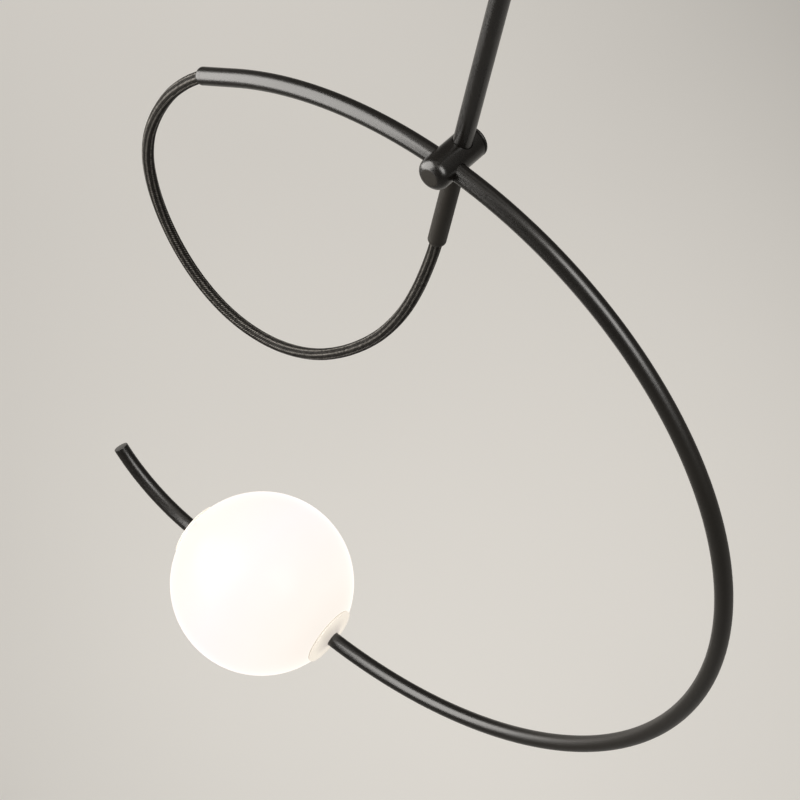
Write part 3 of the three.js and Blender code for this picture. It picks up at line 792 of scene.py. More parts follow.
ring_start_direction = Vector((-math.sin(RING_START), 0, math.cos(RING_START)))
ring_end = ring_point(RING_START) + ring_start_direction * RING_END_STRAIGHT
ring_line = [ring_end - ring_start_direction * d for d in np.linspace(0, RING_END_STRAIGHT, 5)[:-1]]
ring_line += [ring_point(a) for a in np.linspace(RING_START, -math.pi / 2, 190)]
ring_low = ring_line[-1]
ring_line += [ring_low - X_AXIS * d for d in np.linspace(0, -GLOBE_X - GAP / 2, 5)[1:]]
tail_start = ring_low - X_AXIS * (-GLOBE_X + GAP / 2)
tail_bend = ring_low - X_AXIS * RUN_LENGTH
tail_line = [tail_start, (tail_start + tail_bend) / 2]
for turn_angle in np.linspace(0, TAIL_SWEEP, 48):
    tail_line.append(
        tail_bend + TAIL_RADIUS * Vector((-math.sin(turn_angle), 0, 1 - math.cos(turn_angle)))
    )
tail_end = tail_line[-1]
tail_direction = Vector((-math.cos(TAIL_SWEEP), 0, math.sin(TAIL_SWEEP)))
stem_line = [Vector((0, 0, z)) for z in np.linspace(STEM_TOP, STEM_BOTTOM, 24)]

for label, line, finish, body in (
    ("ring", ring_line, RING_POWDER, "ring"),
    ("tail", tail_line, POWDER, "ring"),
    ("stem", stem_line, STEM_POWDER, "stem"),
):
    coated = tube("coated_" + label + "_tube", line, finish, TUBE_RADIUS, TUBE_WALL, ease=END_EASE)
    place_piece(coated, body, "black_coat", label + "_tube")


# Bushes where the cable goes in, and the tail's plug

BUSH_NOSE = 4.5 * MM
BUSH_ROUNDING = 1.3 * MM
BUSH_SEAM = 0.02 * MM
BUSH_SPIGOT = 7 * MM
LEAD_RADIUS = 3 * MM
LEAD_BORE = LEAD_RADIUS + GAP
MOUTH_RADIUS = CABLE_RADIUS + GAP
MOUTH_FLARE = 0.35 * MM
MOUTH_FLOOR = BUSH_NOSE - 6 * MM
PLUG_SPIGOT = 5 * MM
PLUG_FACE = 1 * MM + GAP


def end_bush(name, origin, along, finish):
    """The rounded bush in a tube's end that the cable goes into."""
    rounding = BUSH_ROUNDING
    profile = [
        (LEAD_BORE, -BUSH_SPIGOT),
        (SPIGOT_RADIUS, -BUSH_SPIGOT),
        (SPIGOT_RADIUS, BUSH_SEAM),
        (TUBE_RADIUS, BUSH_SEAM),
        *quarter(TUBE_RADIUS - rounding, BUSH_NOSE - rounding, rounding, 0, 90),
        (MOUTH_RADIUS + MOUTH_FLARE, BUSH_NOSE),
        (MOUTH_RADIUS, MOUTH_FLOOR),
        (LEAD_BORE, MOUTH_FLOOR),
    ]
    return turned(name, profile, finish, origin, along, 64, 0.03 * MM)


stem_bush = end_bush("stem_bush_nose", (0, 0, STEM_BOTTOM), -Z_AXIS, STEM_POWDER)
place_piece(stem_bush, "stem", "black_coat", "stem_end_bush")
ring_bush = end_bush("ring_bush_nose", ring_end, ring_start_direction, POWDER)
place_piece(ring_bush, "ring", "black_coat", "ring_end_bush")
plug_profile = [
    (0, -PLUG_SPIGOT),
    (SPIGOT_RADIUS, -PLUG_SPIGOT),
    (SPIGOT_RADIUS, BUSH_SEAM),
    (TUBE_RADIUS, BUSH_SEAM),
    (TUBE_RADIUS, PLUG_FACE),
    (0, PLUG_FACE),
]
tail_plug = turned("tail_plug", plug_profile, POWDER, tail_end, tail_direction, 64, 0.25 * MM)
place_piece(tail_plug, "ring", "black_coat", "tail_end_plug")


# The clamp

NOSE_FLAT = 5.1 * MM
NOSE_LENGTH = 6.4 * MM
NOSE_CREASE = math.radians(8)
NOSE_RIM = 0.12 * MM
HEAD_LENGTH = 2.7 * MM
HEAD_ROUNDING = 1.6 * MM
SEAM_CHAMFER = 0.7 * MM
KEY_FLATS = 5 * MM
KEY_DEPTH = 4 * MM
PAD_THICKNESS = 2.5 * MM
PUCK_RADIUS = CLAMP_BORE - GAP
PASSAGE_HALF = 25 * MM
PASSAGE_ANGLE = 0.09


def stem_passage():
    """A cutter for the stem's hole."""
    return rod("passage", TUBE_HOLE, -PASSAGE_HALF, PASSAGE_HALF, CLAMP_CENTRE, Z_AXIS, 96)


def ring_passage():
    """A cutter for the ring's curved hole."""
    line = [ring_point(math.pi / 2 + a) for a in np.linspace(PASSAGE_ANGLE, -PASSAGE_ANGLE, 13)]
    return tube("ring passage", line, None, TUBE_HOLE, sides=96)


nose = []
for step in range(13):
    angle = NOSE_CREASE + step / 12 * (math.pi / 2 - NOSE_CREASE)
    nose.append((
        NOSE_FLAT + (CLAMP_RADIUS - NOSE_FLAT) * math.sin(angle),
        NOSE_FACE + NOSE_LENGTH * (1 - math.cos(angle)),
    ))
head_low = CLAMP_BACK - HEAD_LENGTH
seam = head_low - GAP
clamp_profile = [
    (0, NOSE_FACE),
    (NOSE_FLAT - NOSE_RIM, NOSE_FACE),
    *nose,
    (CLAMP_RADIUS, seam - SEAM_CHAMFER),
    (CLAMP_RADIUS - SEAM_CHAMFER, seam),
    (CLAMP_BORE, seam),
    (CLAMP_BORE, RING_Y),
    (0, RING_Y),
]
clamp_bar = turned("clamp_bar", clamp_profile, CLAMP_POWDER, CLAMP_CENTRE, Y_AXIS, 144, 0)
cut_away(clamp_bar, stem_passage(), ring_passage())
ease_edges(clamp_bar, 0.4 * MM, 3, 30)
place_piece(clamp_bar, "clamp", "black_coat", "clamp_body")

pad_back = TUBE_HOLE + PAD_THICKNESS
screw_profile = [
    (0, pad_back + GAP),
    (PUCK_RADIUS, pad_back + GAP),
    (PUCK_RADIUS, head_low),
    (CLAMP_RADIUS - SEAM_CHAMFER, head_low),
    (CLAMP_RADIUS, head_low + SEAM_CHAMFER),
    *quarter(CLAMP_RADIUS - HEAD_ROUNDING, CLAMP_BACK - HEAD_ROUNDING, HEAD_ROUNDING, 0, 90),
    (0, CLAMP_BACK),
]
clamp_cap = turned("clamp_screw_head", screw_profile, POWDER, CLAMP_CENTRE, Y_AXIS, 128, 0.3 * MM)
key_low = CLAMP_BACK - KEY_DEPTH
cut_away(clamp_cap, prism("key", polygon(KEY_FLATS), key_low, CLAMP_BACK + OVERRUN, CLAMP_CENTRE, Y_AXIS))
ease_edges(clamp_cap, 0.2 * MM, 2, 50)
place_piece(clamp_cap, "clamp", "black_coat", "clamp_screw")


# The globe and what holds it

GLASS = 3 * MM
OPENING = 22.3 * MM
RIM = 26.9 * MM
RIM_PLANE = math.sqrt(GLOBE_RADIUS ** 2 - RIM ** 2)
rim_angle = math.degrees(math.asin(RIM / GLOBE_RADIUS))
neck_angle = math.degrees(math.asin(OPENING / (GLOBE_RADIUS - GLASS)))
globe_profile = [
    *quarter(0, 0, GLOBE_RADIUS, rim_angle - 90, 90 - rim_angle, 84),
    (OPENING, RIM_PLANE),
    *quarter(0, 0, GLOBE_RADIUS - GLASS, 90 - neck_angle, neck_angle - 90, 48),
    (OPENING, -RIM_PLANE),
]
globe = turned("opal_globe", globe_profile, OPAL, GLOBE_CENTRE, X_AXIS, 128, 0.4 * MM)
place_piece(globe, "ring", "opal_glass", "glass_globe")

SEAL_THICKNESS = 1.2 * MM
SEAL_PLAY = 0.05 * MM
CAP_RADIUS = 25.8 * MM
COLLAR_RADIUS = 7.7 * MM
CAP_UNDER = RIM_PLANE + SEAL_THICKNESS
CAP_EDGE = CAP_UNDER + 1 * MM
CAP_COLLAR = CAP_EDGE + 2.9 * MM
CAP_BACK = CAP_EDGE - 1.8 * MM
CAP_RISES = (0, -0.03, 0.08, 0.36, 1)
CAP_SPIGOT_RADIUS = OPENING - GAP
CAP_SPIGOT_WALL = 1.8 * MM
CAP_SPIGOT_END = CAP_UNDER - 3 * MM
HUB_RADIUS = 10 * MM
CORE_HALF = 48 * MM
CORE_SOCKET = CORE_HALF - 6 * MM


def cap_face():
    """The cap's outer face, dished near its edge and rising to the collar."""
    spots = np.linspace(0, 1, 25)
    stations = np.linspace(0, 1, len(CAP_RISES))
    rises = np.polyval(np.polyfit(stations, CAP_RISES, 4), spots)
    return [
        (CAP_RADIUS + (COLLAR_RADIUS - CAP_RADIUS) * s, CAP_EDGE + r * (CAP_COLLAR - CAP_EDGE))
        for s, r in zip(spots, rises)
    ]


def globe_cap(name, along):
    """The cap that closes one of the glass's openings, with a spigot in it and a hub round the tube."""
    profile = [
        (CAP_RADIUS, CAP_UNDER),
        *cap_face(),
        (TUBE_HOLE, CAP_COLLAR),
        (TUBE_HOLE, CORE_SOCKET + GAP),
        (HUB_RADIUS, CORE_SOCKET + GAP),
        (HUB_RADIUS, CAP_BACK),
        (CAP_SPIGOT_RADIUS - CAP_SPIGOT_WALL, CAP_BACK),
        (CAP_SPIGOT_RADIUS - CAP_SPIGOT_WALL, CAP_SPIGOT_END),
        (CAP_SPIGOT_RADIUS, CAP_SPIGOT_END),
        (CAP_SPIGOT_RADIUS, CAP_UNDER),
    ]
    return turned(name, profile, CAP_PLASTIC, GLOBE_CENTRE, along, 96, 0.25 * MM)


def rim_seal(name, along):
    """The soft ring between the glass's rim and its cap."""
    low = RIM_PLANE + SEAL_PLAY
    high = CAP_UNDER - SEAL_PLAY
    profile = [(CAP_RADIUS, low), (CAP_RADIUS, high), (OPENING, high), (OPENING, low)]
    return turned(name, profile, SILICONE, GLOBE_CENTRE, along, 96, 0.15 * MM)


for side, direction in (("entry", X_AXIS), ("exit", -X_AXIS)):
    place_piece(globe_cap("cap_" + side, direction), "ring", "cap_plastic", "globe_cap_" + side)
    place_piece(rim_seal("rim_seal_" + side, direction), "ring", "clear_silicone", "glass_seal_" + side)


# Canopy, collar and screws

CANOPY_RADIUS = 63.5 * MM
CANOPY_WALL = 1.5 * MM
CANOPY_FLOOR = -30 * MM
CANOPY_ROUNDING = 4 * MM
CANOPY_TOP = -0.5 * MM
PLATE_RADIUS = CANOPY_RADIUS - CANOPY_WALL - GAP
RIM_INSIDE = PLATE_RADIUS - 1.5 * MM
SCREW_PLACE = (0, 0, -7 * MM)
SCREW_RADIUS = 2 * MM
SCREW_FOOT = CANOPY_RADIUS - 5 * MM
SCREW_SEAT = CANOPY_RADIUS + 0.05 * MM
DOME_POINTS_MM = ((4, 0), (4, 0.7), (3.6, 1.5), (2.4, 2.3), (0, 2.6))
DOME_KEY_FLATS = 2.5 * MM
DOME_KEY_FLOOR = SCREW_SEAT + 1.1 * MM
COLLAR_LOW = STEM_TOP - 14 * MM
COLLAR_CHAMFER = 1 * MM
GRUB_RADIUS = 2 * MM
GRUB_HOLE_FOOT = 4 * MM
GRUB_KEY = 2 * MM


def side_bores():
    """Cutters for the two side screws' holes."""
    low, high = RIM_INSIDE - OVERRUN, CANOPY_RADIUS + OVERRUN
    return [rod("bore", SCREW_RADIUS + GAP, low, high, SCREW_PLACE, X_AXIS * side, 48) for side in (-1, 1)]


turn_radius = CANOPY_RADIUS - CANOPY_ROUNDING
turn_level = CANOPY_FLOOR + CANOPY_ROUNDING
cup_profile = [
    (SPIGOT_RADIUS + GAP, CANOPY_FLOOR),
    *quarter(turn_radius, turn_level, CANOPY_ROUNDING, -90, 0, 12),
    (CANOPY_RADIUS, CANOPY_TOP),
    (CANOPY_RADIUS - CANOPY_WALL, CANOPY_TOP),
    *quarter(turn_radius, turn_level, CANOPY_ROUNDING - CANOPY_WALL, 0, -90, 8),
    (SPIGOT_RADIUS + GAP, CANOPY_FLOOR + CANOPY_WALL),
]
cup = turned("canopy_shell", cup_profile, POWDER, sides=160, soft=0.3 * MM)
cut_away(cup, *side_bores())
place_piece(cup, "stem", "black_coat", "canopy_cup")


def dome_screw(name, along):
    """A side screw with a domed head and a socket for a key."""
    profile = [
        (0, SCREW_FOOT),
        (SCREW_RADIUS, SCREW_FOOT),
        (SCREW_RADIUS, SCREW_SEAT),
        *[(radius * MM, SCREW_SEAT + rise * MM) for radius, rise in DOME_POINTS_MM],
    ]
    screw = turned(name, profile, POWDER, SCREW_PLACE, along, 64, 0.3 * MM)
    socket_top = DOME_KEY_FLOOR + 2 * OVERRUN
    cut_away(screw, prism("key", polygon(DOME_KEY_FLATS), DOME_KEY_FLOOR, socket_top, SCREW_PLACE, along))
    return ease_edges(screw, 0.08 * MM, 2, 50)


place_piece(dome_screw("dome_screw_right", X_AXIS), "stem", "black_coat", "canopy_screw_right")
place_piece(dome_screw("dome_screw_left", -X_AXIS), "stem", "black_coat", "canopy_screw_left")


def grub_hole(place, out, sides):
    """A cutter for a grub screw's hole, through to the tube."""
    return rod("bore", GRUB_RADIUS + GAP, GRUB_HOLE_FOOT, out + OVERRUN, place, Y_AXIS, sides)


def grub_screw(name, origin, high, finish):
    """A grub screw from the tube out to a height, with a socket for a key."""
    screw = rod(name, GRUB_RADIUS, TUBE_HOLE, high, origin, Y_AXIS, 40, finish, 0.25 * MM)
    return cut_away(screw, prism("key", polygon(GRUB_KEY), high - GRUB_KEY, high + OVERRUN, origin, Y_AXIS))


collar_profile = [
    (TUBE_HOLE, STEM_TOP),
    (CLAMP_RADIUS, STEM_TOP),
    (CLAMP_RADIUS, COLLAR_LOW + COLLAR_CHAMFER),
    (CLAMP_RADIUS - COLLAR_CHAMFER, COLLAR_LOW),
    (TUBE_HOLE, COLLAR_LOW),
]
collar = turned("stem_collar", collar_profile, POWDER, soft=0.3 * MM)
grub_place = (0, 0, (STEM_TOP + COLLAR_LOW) / 2)
cut_away(collar, grub_hole(grub_place, CLAMP_RADIUS, 48))
place_piece(collar, "stem", "black_coat", "canopy_collar")
collar_grub = grub_screw("collar_grub", grub_place, CLAMP_RADIUS - GAP, POWDER)
place_piece(collar_grub, "stem", "black_coat", "collar_grub_screw")


# Inside the canopy

PLATE_THICKNESS = 2 * MM
PLATE_RIM_LOW = -12 * MM
UNDER_PLATE = -PLATE_THICKNESS - GAP
SLOT_WIDTH = 5 * MM
SLOT_LENGTH = 14 * MM
SLOT_CORNER = 2.499 * MM
SLOT_FROM_MIDDLE = 44 * MM
ENTRY_RADIUS = 8 * MM
ENTRY_PLACE = (-24 * MM, -34 * MM, 0)


def ceiling_dish():
    """The plate on the ceiling, with its rim, its two slots and the supply's hole."""
    profile = [
        (0, 0),
        (PLATE_RADIUS, 0),
        (PLATE_RADIUS, PLATE_RIM_LOW),
        (RIM_INSIDE, PLATE_RIM_LOW),
        (RIM_INSIDE, -PLATE_THICKNESS),
        (0, -PLATE_THICKNESS),
    ]
    dish = turned("pressed_ceiling_plate", profile, ZINC, sides=160, soft=0.6 * MM)
    low = -PLATE_THICKNESS - OVERRUN
    cutters = side_bores()
    for side in (-1, 1):
        slot = round_cornered(SLOT_WIDTH, SLOT_LENGTH, SLOT_CORNER, 10)
        cutters.append(prism("slot", slot, low, OVERRUN, (side * SLOT_FROM_MIDDLE, 0, 0)))
    cutters.append(rod("entry", ENTRY_RADIUS, low, OVERRUN, ENTRY_PLACE))
    return ease_edges(cut_away(dish, *cutters), 0.2 * MM, 2, 50)


DRIVER_NEAR = SPIGOT_RADIUS + 11 * MM
DRIVER_LENGTH_SHARE = 1.16
DRIVER_TO_RIM = 3 * MM
DRIVER_HEIGHT = 18 * MM
DRIVER_CORNER = 2 * MM
LID_JOINT = -12 * MM
LID_JOINT_HALF = 0.2 * MM
LID_JOINT_DEPTH = 0.4 * MM
LID_RECESS_DEPTH = 0.5 * MM
LID_BORDERS = (6 * MM, 4 * MM)


def driver_case():
    """A moulded case with a lid, and a fine joint line between them."""
    length = DRIVER_LENGTH_SHARE * RIM_INSIDE
    far = math.sqrt((RIM_INSIDE - DRIVER_TO_RIM) ** 2 - (length / 2) ** 2)
    width = far - DRIVER_NEAR
    place = (0, (DRIVER_NEAR + far) / 2, UNDER_PLATE)

    def layer(name, inset, corner, low, high):
        outline = round_cornered(length - 2 * inset[0], width - 2 * inset[1], corner)
        return prism(name, outline, low, high, place, Z_AXIS, WHITE_PLASTIC)

    base = layer("base", (0, 0), DRIVER_CORNER, LID_JOINT + LID_JOINT_HALF, 0)
    inset = (LID_JOINT_DEPTH, LID_JOINT_DEPTH)
    waist = layer("waist", inset, DRIVER_CORNER - LID_JOINT_DEPTH, LID_JOINT - MM, LID_JOINT + MM)
    lid = layer("lid", (0, 0), DRIVER_CORNER, -DRIVER_HEIGHT, LID_JOINT - LID_JOINT_HALF)
    recess_low = -DRIVER_HEIGHT - OVERRUN
    recess = layer("recess", LID_BORDERS, DRIVER_CORNER, recess_low, LID_RECESS_DEPTH - DRIVER_HEIGHT)
    cut_away(lid, recess)
    return merged("driver_case", ease_edges(base, 0.3 * MM), waist, ease_edges(lid, 0.3 * MM))


TERMINAL_LENGTH = 26 * MM
TERMINAL_WIDTH = 16 * MM
TERMINAL_HEIGHT = 13 * MM
TERMINAL_CORNER = 0.8 * MM
TERMINAL_PLACE = Vector((6 * MM, -28 * MM, UNDER_PLATE))
POLE_SPACING = TERMINAL_LENGTH / 3
POLE_PLACES = [TERMINAL_PLACE + X_AXIS * pole * POLE_SPACING for pole in (-1, 0, 1)]
WELL_RADIUS = 2 * MM
WELL_FLOOR = -TERMINAL_HEIGHT / 2
WIRE_HOLE_RADIUS = 1.6 * MM
WIRE_HOLE_LEVEL = -9.5 * MM
WIRE_HOLE_DEPTH = 3 * MM
GROOVE_WIDTH = 1 * MM
GROOVE_DEPTH = 1.5 * MM


def terminal_case():
    """A block of three poles, with a screw well and two wire holes for each."""
    outline = round_cornered(TERMINAL_LENGTH, TERMINAL_WIDTH, TERMINAL_CORNER)
    block = prism("terminal_case", outline, -TERMINAL_HEIGHT, 0, TERMINAL_PLACE, Z_AXIS, WHITE_PLASTIC)
    half = TERMINAL_WIDTH / 2
    low = -TERMINAL_HEIGHT - OVERRUN
    cutters = []
    for place in POLE_PLACES:
        cutters.append(rod("well", WELL_RADIUS, low, WELL_FLOOR, place, Z_AXIS, 40))
        hole_place = place + Z_AXIS * WIRE_HOLE_LEVEL
        for way in (-Y_AXIS, Y_AXIS):
            foot = half - WIRE_HOLE_DEPTH
            cutters.append(rod("wire hole", WIRE_HOLE_RADIUS, foot, half + OVERRUN, hole_place, way, 32))
    for joint in (-0.5, 0.5):
        place = TERMINAL_PLACE + X_AXIS * joint * POLE_SPACING
        x, y = GROOVE_WIDTH / 2, half + OVERRUN
        groove = [(-x, -y), (x, -y), (x, y), (-x, y)]
        cutters.append(prism("groove", groove, low, GROOVE_DEPTH - TERMINAL_HEIGHT, place))
    return ease_edges(cut_away(block, *cutters), 0.2 * MM, 2, 50)


def slotted_heads_tree():
    """A slotted screw head at each point."""
    tree = new_tree(
        "slotted heads",
        [("Radius", "Float"), ("Height", "Float"), ("Slot width", "Float"), ("Finish", "Material")],
    )
    given = tree.nodes.new("NodeGroupInput").outputs
    head = add(tree, "GeometryNodeMeshCylinder", Vertices=28, Radius=given["Radius"], Depth=given["Height"])
    size = add(tree, "ShaderNodeCombineXYZ", X=given["Slot width"], Y=1.0, Z=given["Height"])
    slot = add(tree, "GeometryNodeMeshCube", Size=size.outputs[0])
    sink = add(tree, "ShaderNodeMath", operation="MULTIPLY")
    tree.links.new(given["Height"], sink.inputs[0])
    sink.inputs[1].default_value = -0.6
    down = add(tree, "ShaderNodeCombineXYZ", Z=sink.outputs[0]).outputs[0]
    moved = add(tree, "GeometryNodeTransform", Geometry=slot.outputs["Mesh"], Translation=down)
    cut = add(tree, "GeometryNodeMeshBoolean", operation="DIFFERENCE")
    tree.links.new(head.outputs["Mesh"], cut.inputs["Mesh 1"])
    tree.links.new(moved.outputs[0], cut.inputs["Mesh 2"])
    heads = cut.outputs["Mesh"]
    spots = add(tree, "GeometryNodeInstanceOnPoints", Points=given["Geometry"], Instance=heads)
    finish_tree(tree, spots.outputs[0], given["Finish"])
    return tree


place_piece(ceiling_dish(), "stem", "zinc_steel", "ceiling_plate")
place_piece(driver_case(), "stem", "white_plastic", "led_driver")
place_piece(terminal_case(), "stem", "white_plastic", "terminal_block")
SCREW_HEADS = {"Radius": 1.8 * MM, "Height": 1.4 * MM, "Slot width": 0.5 * MM, "Finish": BRASS}
HEAD_LEVEL = -7.3 * MM
head_places = [place + Z_AXIS * HEAD_LEVEL for place in POLE_PLACES]
heads = grown("terminal_screw_heads", slotted_heads_tree(), SCREW_HEADS, head_places)
place_piece(heads, "stem", "brass")


# Leads

NIPPLE_WALL = 1.35 * MM
NIPPLE_LOW = STEM_TOP - 20 * MM
WASHER_LOW = CANOPY_FLOOR + CANOPY_WALL + GAP
WASHER_HIGH = WASHER_LOW + 1.2 * MM
WASHER_RADIUS = 10 * MM
NUT_LOW = WASHER_HIGH + GAP
NUT_HIGH = NUT_LOW + 5 * MM
NUT_FLATS = 16 * MM
NUT_CONE_MM = ((6.17, 1), (12, 1), (12, -2.37))
NIPPLE_TOP = NUT_HIGH + 2.2 * MM
THREAD_PITCH = 0.75 * MM
THREAD_DEPTH = 0.35 * MM
PIN_HALF = 22 * MM
STEM_LEAD_RADIUS = SPIGOT_RADIUS - NIPPLE_WALL - GAP
DRIVER_LEAD_RADIUS = 2 * MM
DRIVER_LEAD_X = 12 * MM
LEAD_LEVEL = UNDER_PLATE - TERMINAL_HEIGHT / 2
TERMINAL_FACE = TERMINAL_PLACE.y + TERMINAL_WIDTH / 2 + GAP


def lead(name, line, radius, body, node):
    """A plain sheath along a line of points."""
    place_piece(tube(name, line, SHEATH, radius, sides=24), body, "lead_sheath", node)


driver_line = [
    Vector((DRIVER_LEAD_X, y, LEAD_LEVEL)) for y in np.linspace(TERMINAL_FACE, DRIVER_NEAR - GAP, 5)
]
bend_top = Vector((0, 0, NIPPLE_TOP + GAP))
bend_turn = Vector((0, 0, LEAD_LEVEL))
bend_end = Vector((0, TERMINAL_FACE, LEAD_LEVEL))
bend_line = [
    bend_top * (1 - t) ** 2 + bend_turn * 2 * t * (1 - t) + bend_end * t * t
    for t in np.linspace(0, 1, 20)
]
past_bush = BUSH_SPIGOT + GAP
stem_lead_line = [Vector((0, 0, z)) for z in np.linspace(STEM_BOTTOM + past_bush, NIPPLE_TOP, 12)]
ring_lead_line = [
    ring_end - ring_start_direction * past_bush,
    *ring_line[2:-2],
    ring_low - X_AXIS * (-GLOBE_X - PIN_HALF - 1.5 * GAP),
]
lead("driver_sheath", driver_line, DRIVER_LEAD_RADIUS, "stem", "driver_lead")
lead("terminal_sheath", bend_line, STEM_LEAD_RADIUS, "stem", "terminal_lead")
lead("stem_sheath", stem_lead_line, STEM_LEAD_RADIUS, "stem", "stem_lead")
lead("ring_sheath", ring_lead_line, LEAD_RADIUS, "ring", "ring_lead")


# Nipple, nut and washer

thread = []
for ridge in range(int((NIPPLE_TOP - NIPPLE_LOW) / THREAD_PITCH) + 1):
    level = NIPPLE_LOW + ridge * THREAD_PITCH
    thread += [(SPIGOT_RADIUS - THREAD_DEPTH, level), (SPIGOT_RADIUS, level + THREAD_PITCH / 2)]
nipple_profile = [
    (SPIGOT_RADIUS - NIPPLE_WALL, NIPPLE_LOW),
    *[point for point in thread if point[1] < NIPPLE_TOP - 0.1 * MM],
    (SPIGOT_RADIUS - THREAD_DEPTH, NIPPLE_TOP),
    (SPIGOT_RADIUS - NIPPLE_WALL, NIPPLE_TOP),
]
nipple = turned("threaded_nipple", nipple_profile, BRASS, sides=48, soft=0)
place_piece(nipple, "stem", "brass", "stem_nipple")

nut = prism("chamfered_nut", polygon(NUT_FLATS), NUT_LOW, NUT_HIGH, finish=BRASS)
bore = SPIGOT_RADIUS + GAP
nut_cutters = [rod("bore", bore, NUT_LOW - OVERRUN, NUT_HIGH + OVERRUN)]
for level, way in ((NUT_HIGH, 1), (NUT_LOW, -1)):
    cone = [(radius * MM, way * rise * MM) for radius, rise in NUT_CONE_MM]
    nut_cutters.append(turned("chamfer", cone, None, (0, 0, level), soft=0))
cut_away(nut, *nut_cutters)
place_piece(ease_edges(nut, 0.12 * MM, 2, 25), "stem", "brass", "nipple_nut")

washer_profile = [
    (bore, WASHER_LOW),
    (WASHER_RADIUS, WASHER_LOW),
    (WASHER_RADIUS, WASHER_HIGH),
    (bore, WASHER_HIGH),
]
washer = turned("turned_washer", washer_profile, ZINC, sides=72)
place_piece(washer, "stem", "zinc_steel", "nipple_washer")


# Inside the clamp

SADDLE_REACH = 3 * MM


def hollowed_puck(name, low, high, node, *passages):
    """A puck in the clamp's bore, hollowed to the tubes beside it."""
    puck = rod(name, PUCK_RADIUS, low, high, CLAMP_CENTRE, Y_AXIS, 96, BRASS, 0.2 * MM)
    place_piece(ease_edges(cut_away(puck, *passages), 0.12 * MM, 2, 40), "clamp", "brass", node)


saddle_low = RING_Y + SADDLE_REACH
hollowed_puck("hollowed_saddle", saddle_low, -SADDLE_REACH, "clamp_saddle", stem_passage(), ring_passage())
hollowed_puck("hollowed_pad", SADDLE_REACH, pad_back, "clamp_pad", stem_passage())


# Inside the globe

CORE_FLATS = 24 * MM
CORE_OUT = CORE_FLATS / 2
# So many sides leave a flat, and no edge, where the grub screws' holes come in
CORE_BORE_SIDES = 74
CORE_SCREW_FROM_MIDDLE = CORE_HALF - 10 * MM

core_outline = [(y, -x) for x, y in polygon(CORE_FLATS)]
core = prism("extruded_core", core_outline, -CORE_HALF, CORE_HALF, GLOBE_CENTRE, X_AXIS, ALUMINIUM)
core_end = CORE_HALF + OVERRUN
core_cutters = [rod("bore", TUBE_HOLE, -core_end, core_end, GLOBE_CENTRE, X_AXIS, CORE_BORE_SIDES)]
for side, label in ((1, "entry"), (-1, "exit")):
    way = X_AXIS * side
    core_cutters.append(rod("socket", HUB_RADIUS + GAP, CORE_SOCKET, core_end, GLOBE_CENTRE, way, 72))
    screw_place = GLOBE_CENTRE + way * CORE_SCREW_FROM_MIDDLE
    core_cutters.append(grub_hole(screw_place, CORE_OUT, 40))
    screw = grub_screw("core_grub_" + label, screw_place, CORE_OUT, ZINC)
    place_piece(screw, "ring", "zinc_steel", "core_screw_" + label)
cut_away(core, *core_cutters)
place_piece(ease_edges(core, 0.3 * MM, 2, 40), "ring", "bare_aluminium", "led_core")

pin = rod("joint_pin", SPIGOT_RADIUS, -PIN_HALF, PIN_HALF, GLOBE_CENTRE, X_AXIS, 64, ZINC, 0.5 * MM)
place_piece(pin, "ring", "zinc_steel", "tube_joint_pin")


def chips_tree():
    """Rows of light source chips on a board."""
    tree = new_tree(
        "rows of chips",
        [
            ("Columns", "Int"),
            ("Rows", "Int"),
            ("Length", "Float"),
            ("Width", "Float"),
            ("Chip size", "Vector"),
            ("Finish", "Material"),
        ],
    )
    given = tree.nodes.new("NodeGroupInput").outputs
    grid = add(tree, "GeometryNodeMeshGrid")
    for label, name in (
        ("Size X", "Length"), ("Size Y", "Width"), ("Vertices X", "Columns"), ("Vertices Y", "Rows"),
    ):
        tree.links.new(given[name], grid.inputs[label])
    chip = add(tree, "GeometryNodeMeshCube", Size=given["Chip size"]).outputs["Mesh"]
    spots = grid.outputs["Mesh"]
    spread_out = add(tree, "GeometryNodeInstanceOnPoints", Points=spots, Instance=chip)
    finish_tree(tree, spread_out.outputs[0], given["Finish"])
    return tree


BOARD_COUNT = 6
BOARD_LENGTH = 68 * MM
BOARD_WIDTH = 10 * MM
BOARD_CORNER = 0.6 * MM
BOARD_LOW = CORE_OUT + GAP
BOARD_HIGH = BOARD_LOW + 1.2 * MM
CHIP_HEIGHT = 0.6 * MM
CHIP_TREE = chips_tree()
CHIPS = {
    "Columns": 14,
    "Rows": 2,
    "Length": 62 * MM,
    "Width": 4.6 * MM,
    "Chip size": (2.8 * MM, 2.2 * MM, CHIP_HEIGHT),
    "Finish": PHOSPHOR,
}
board_outline = round_cornered(BOARD_LENGTH, BOARD_WIDTH, BOARD_CORNER, 3)
for index in range(BOARD_COUNT):
    number = str(index + 1)
    turn = Matrix.Rotation(2 * math.pi * index / BOARD_COUNT, 4, "X") @ Matrix.Rotation(-math.pi / 2, 4, "X")
    facing = Matrix.Translation(GLOBE_CENTRE) @ turn
    board = prism("chip_board_" + number, board_outline, BOARD_LOW, BOARD_HIGH, finish=WHITE_PLASTIC)
    ease_edges(board, 0.1 * MM, 1, 50)
    board.data.transform(facing)
    place_piece(board, "ring", "white_plastic", "led_board_" + number)
    chips = grown("chips_" + number, CHIP_TREE, CHIPS)
    chips.data.transform(facing @ Matrix.Translation((0, 0, BOARD_HIGH + CHIP_HEIGHT / 2)))
    place_piece(chips, "ring", "white_plastic")


# Floor, light and size

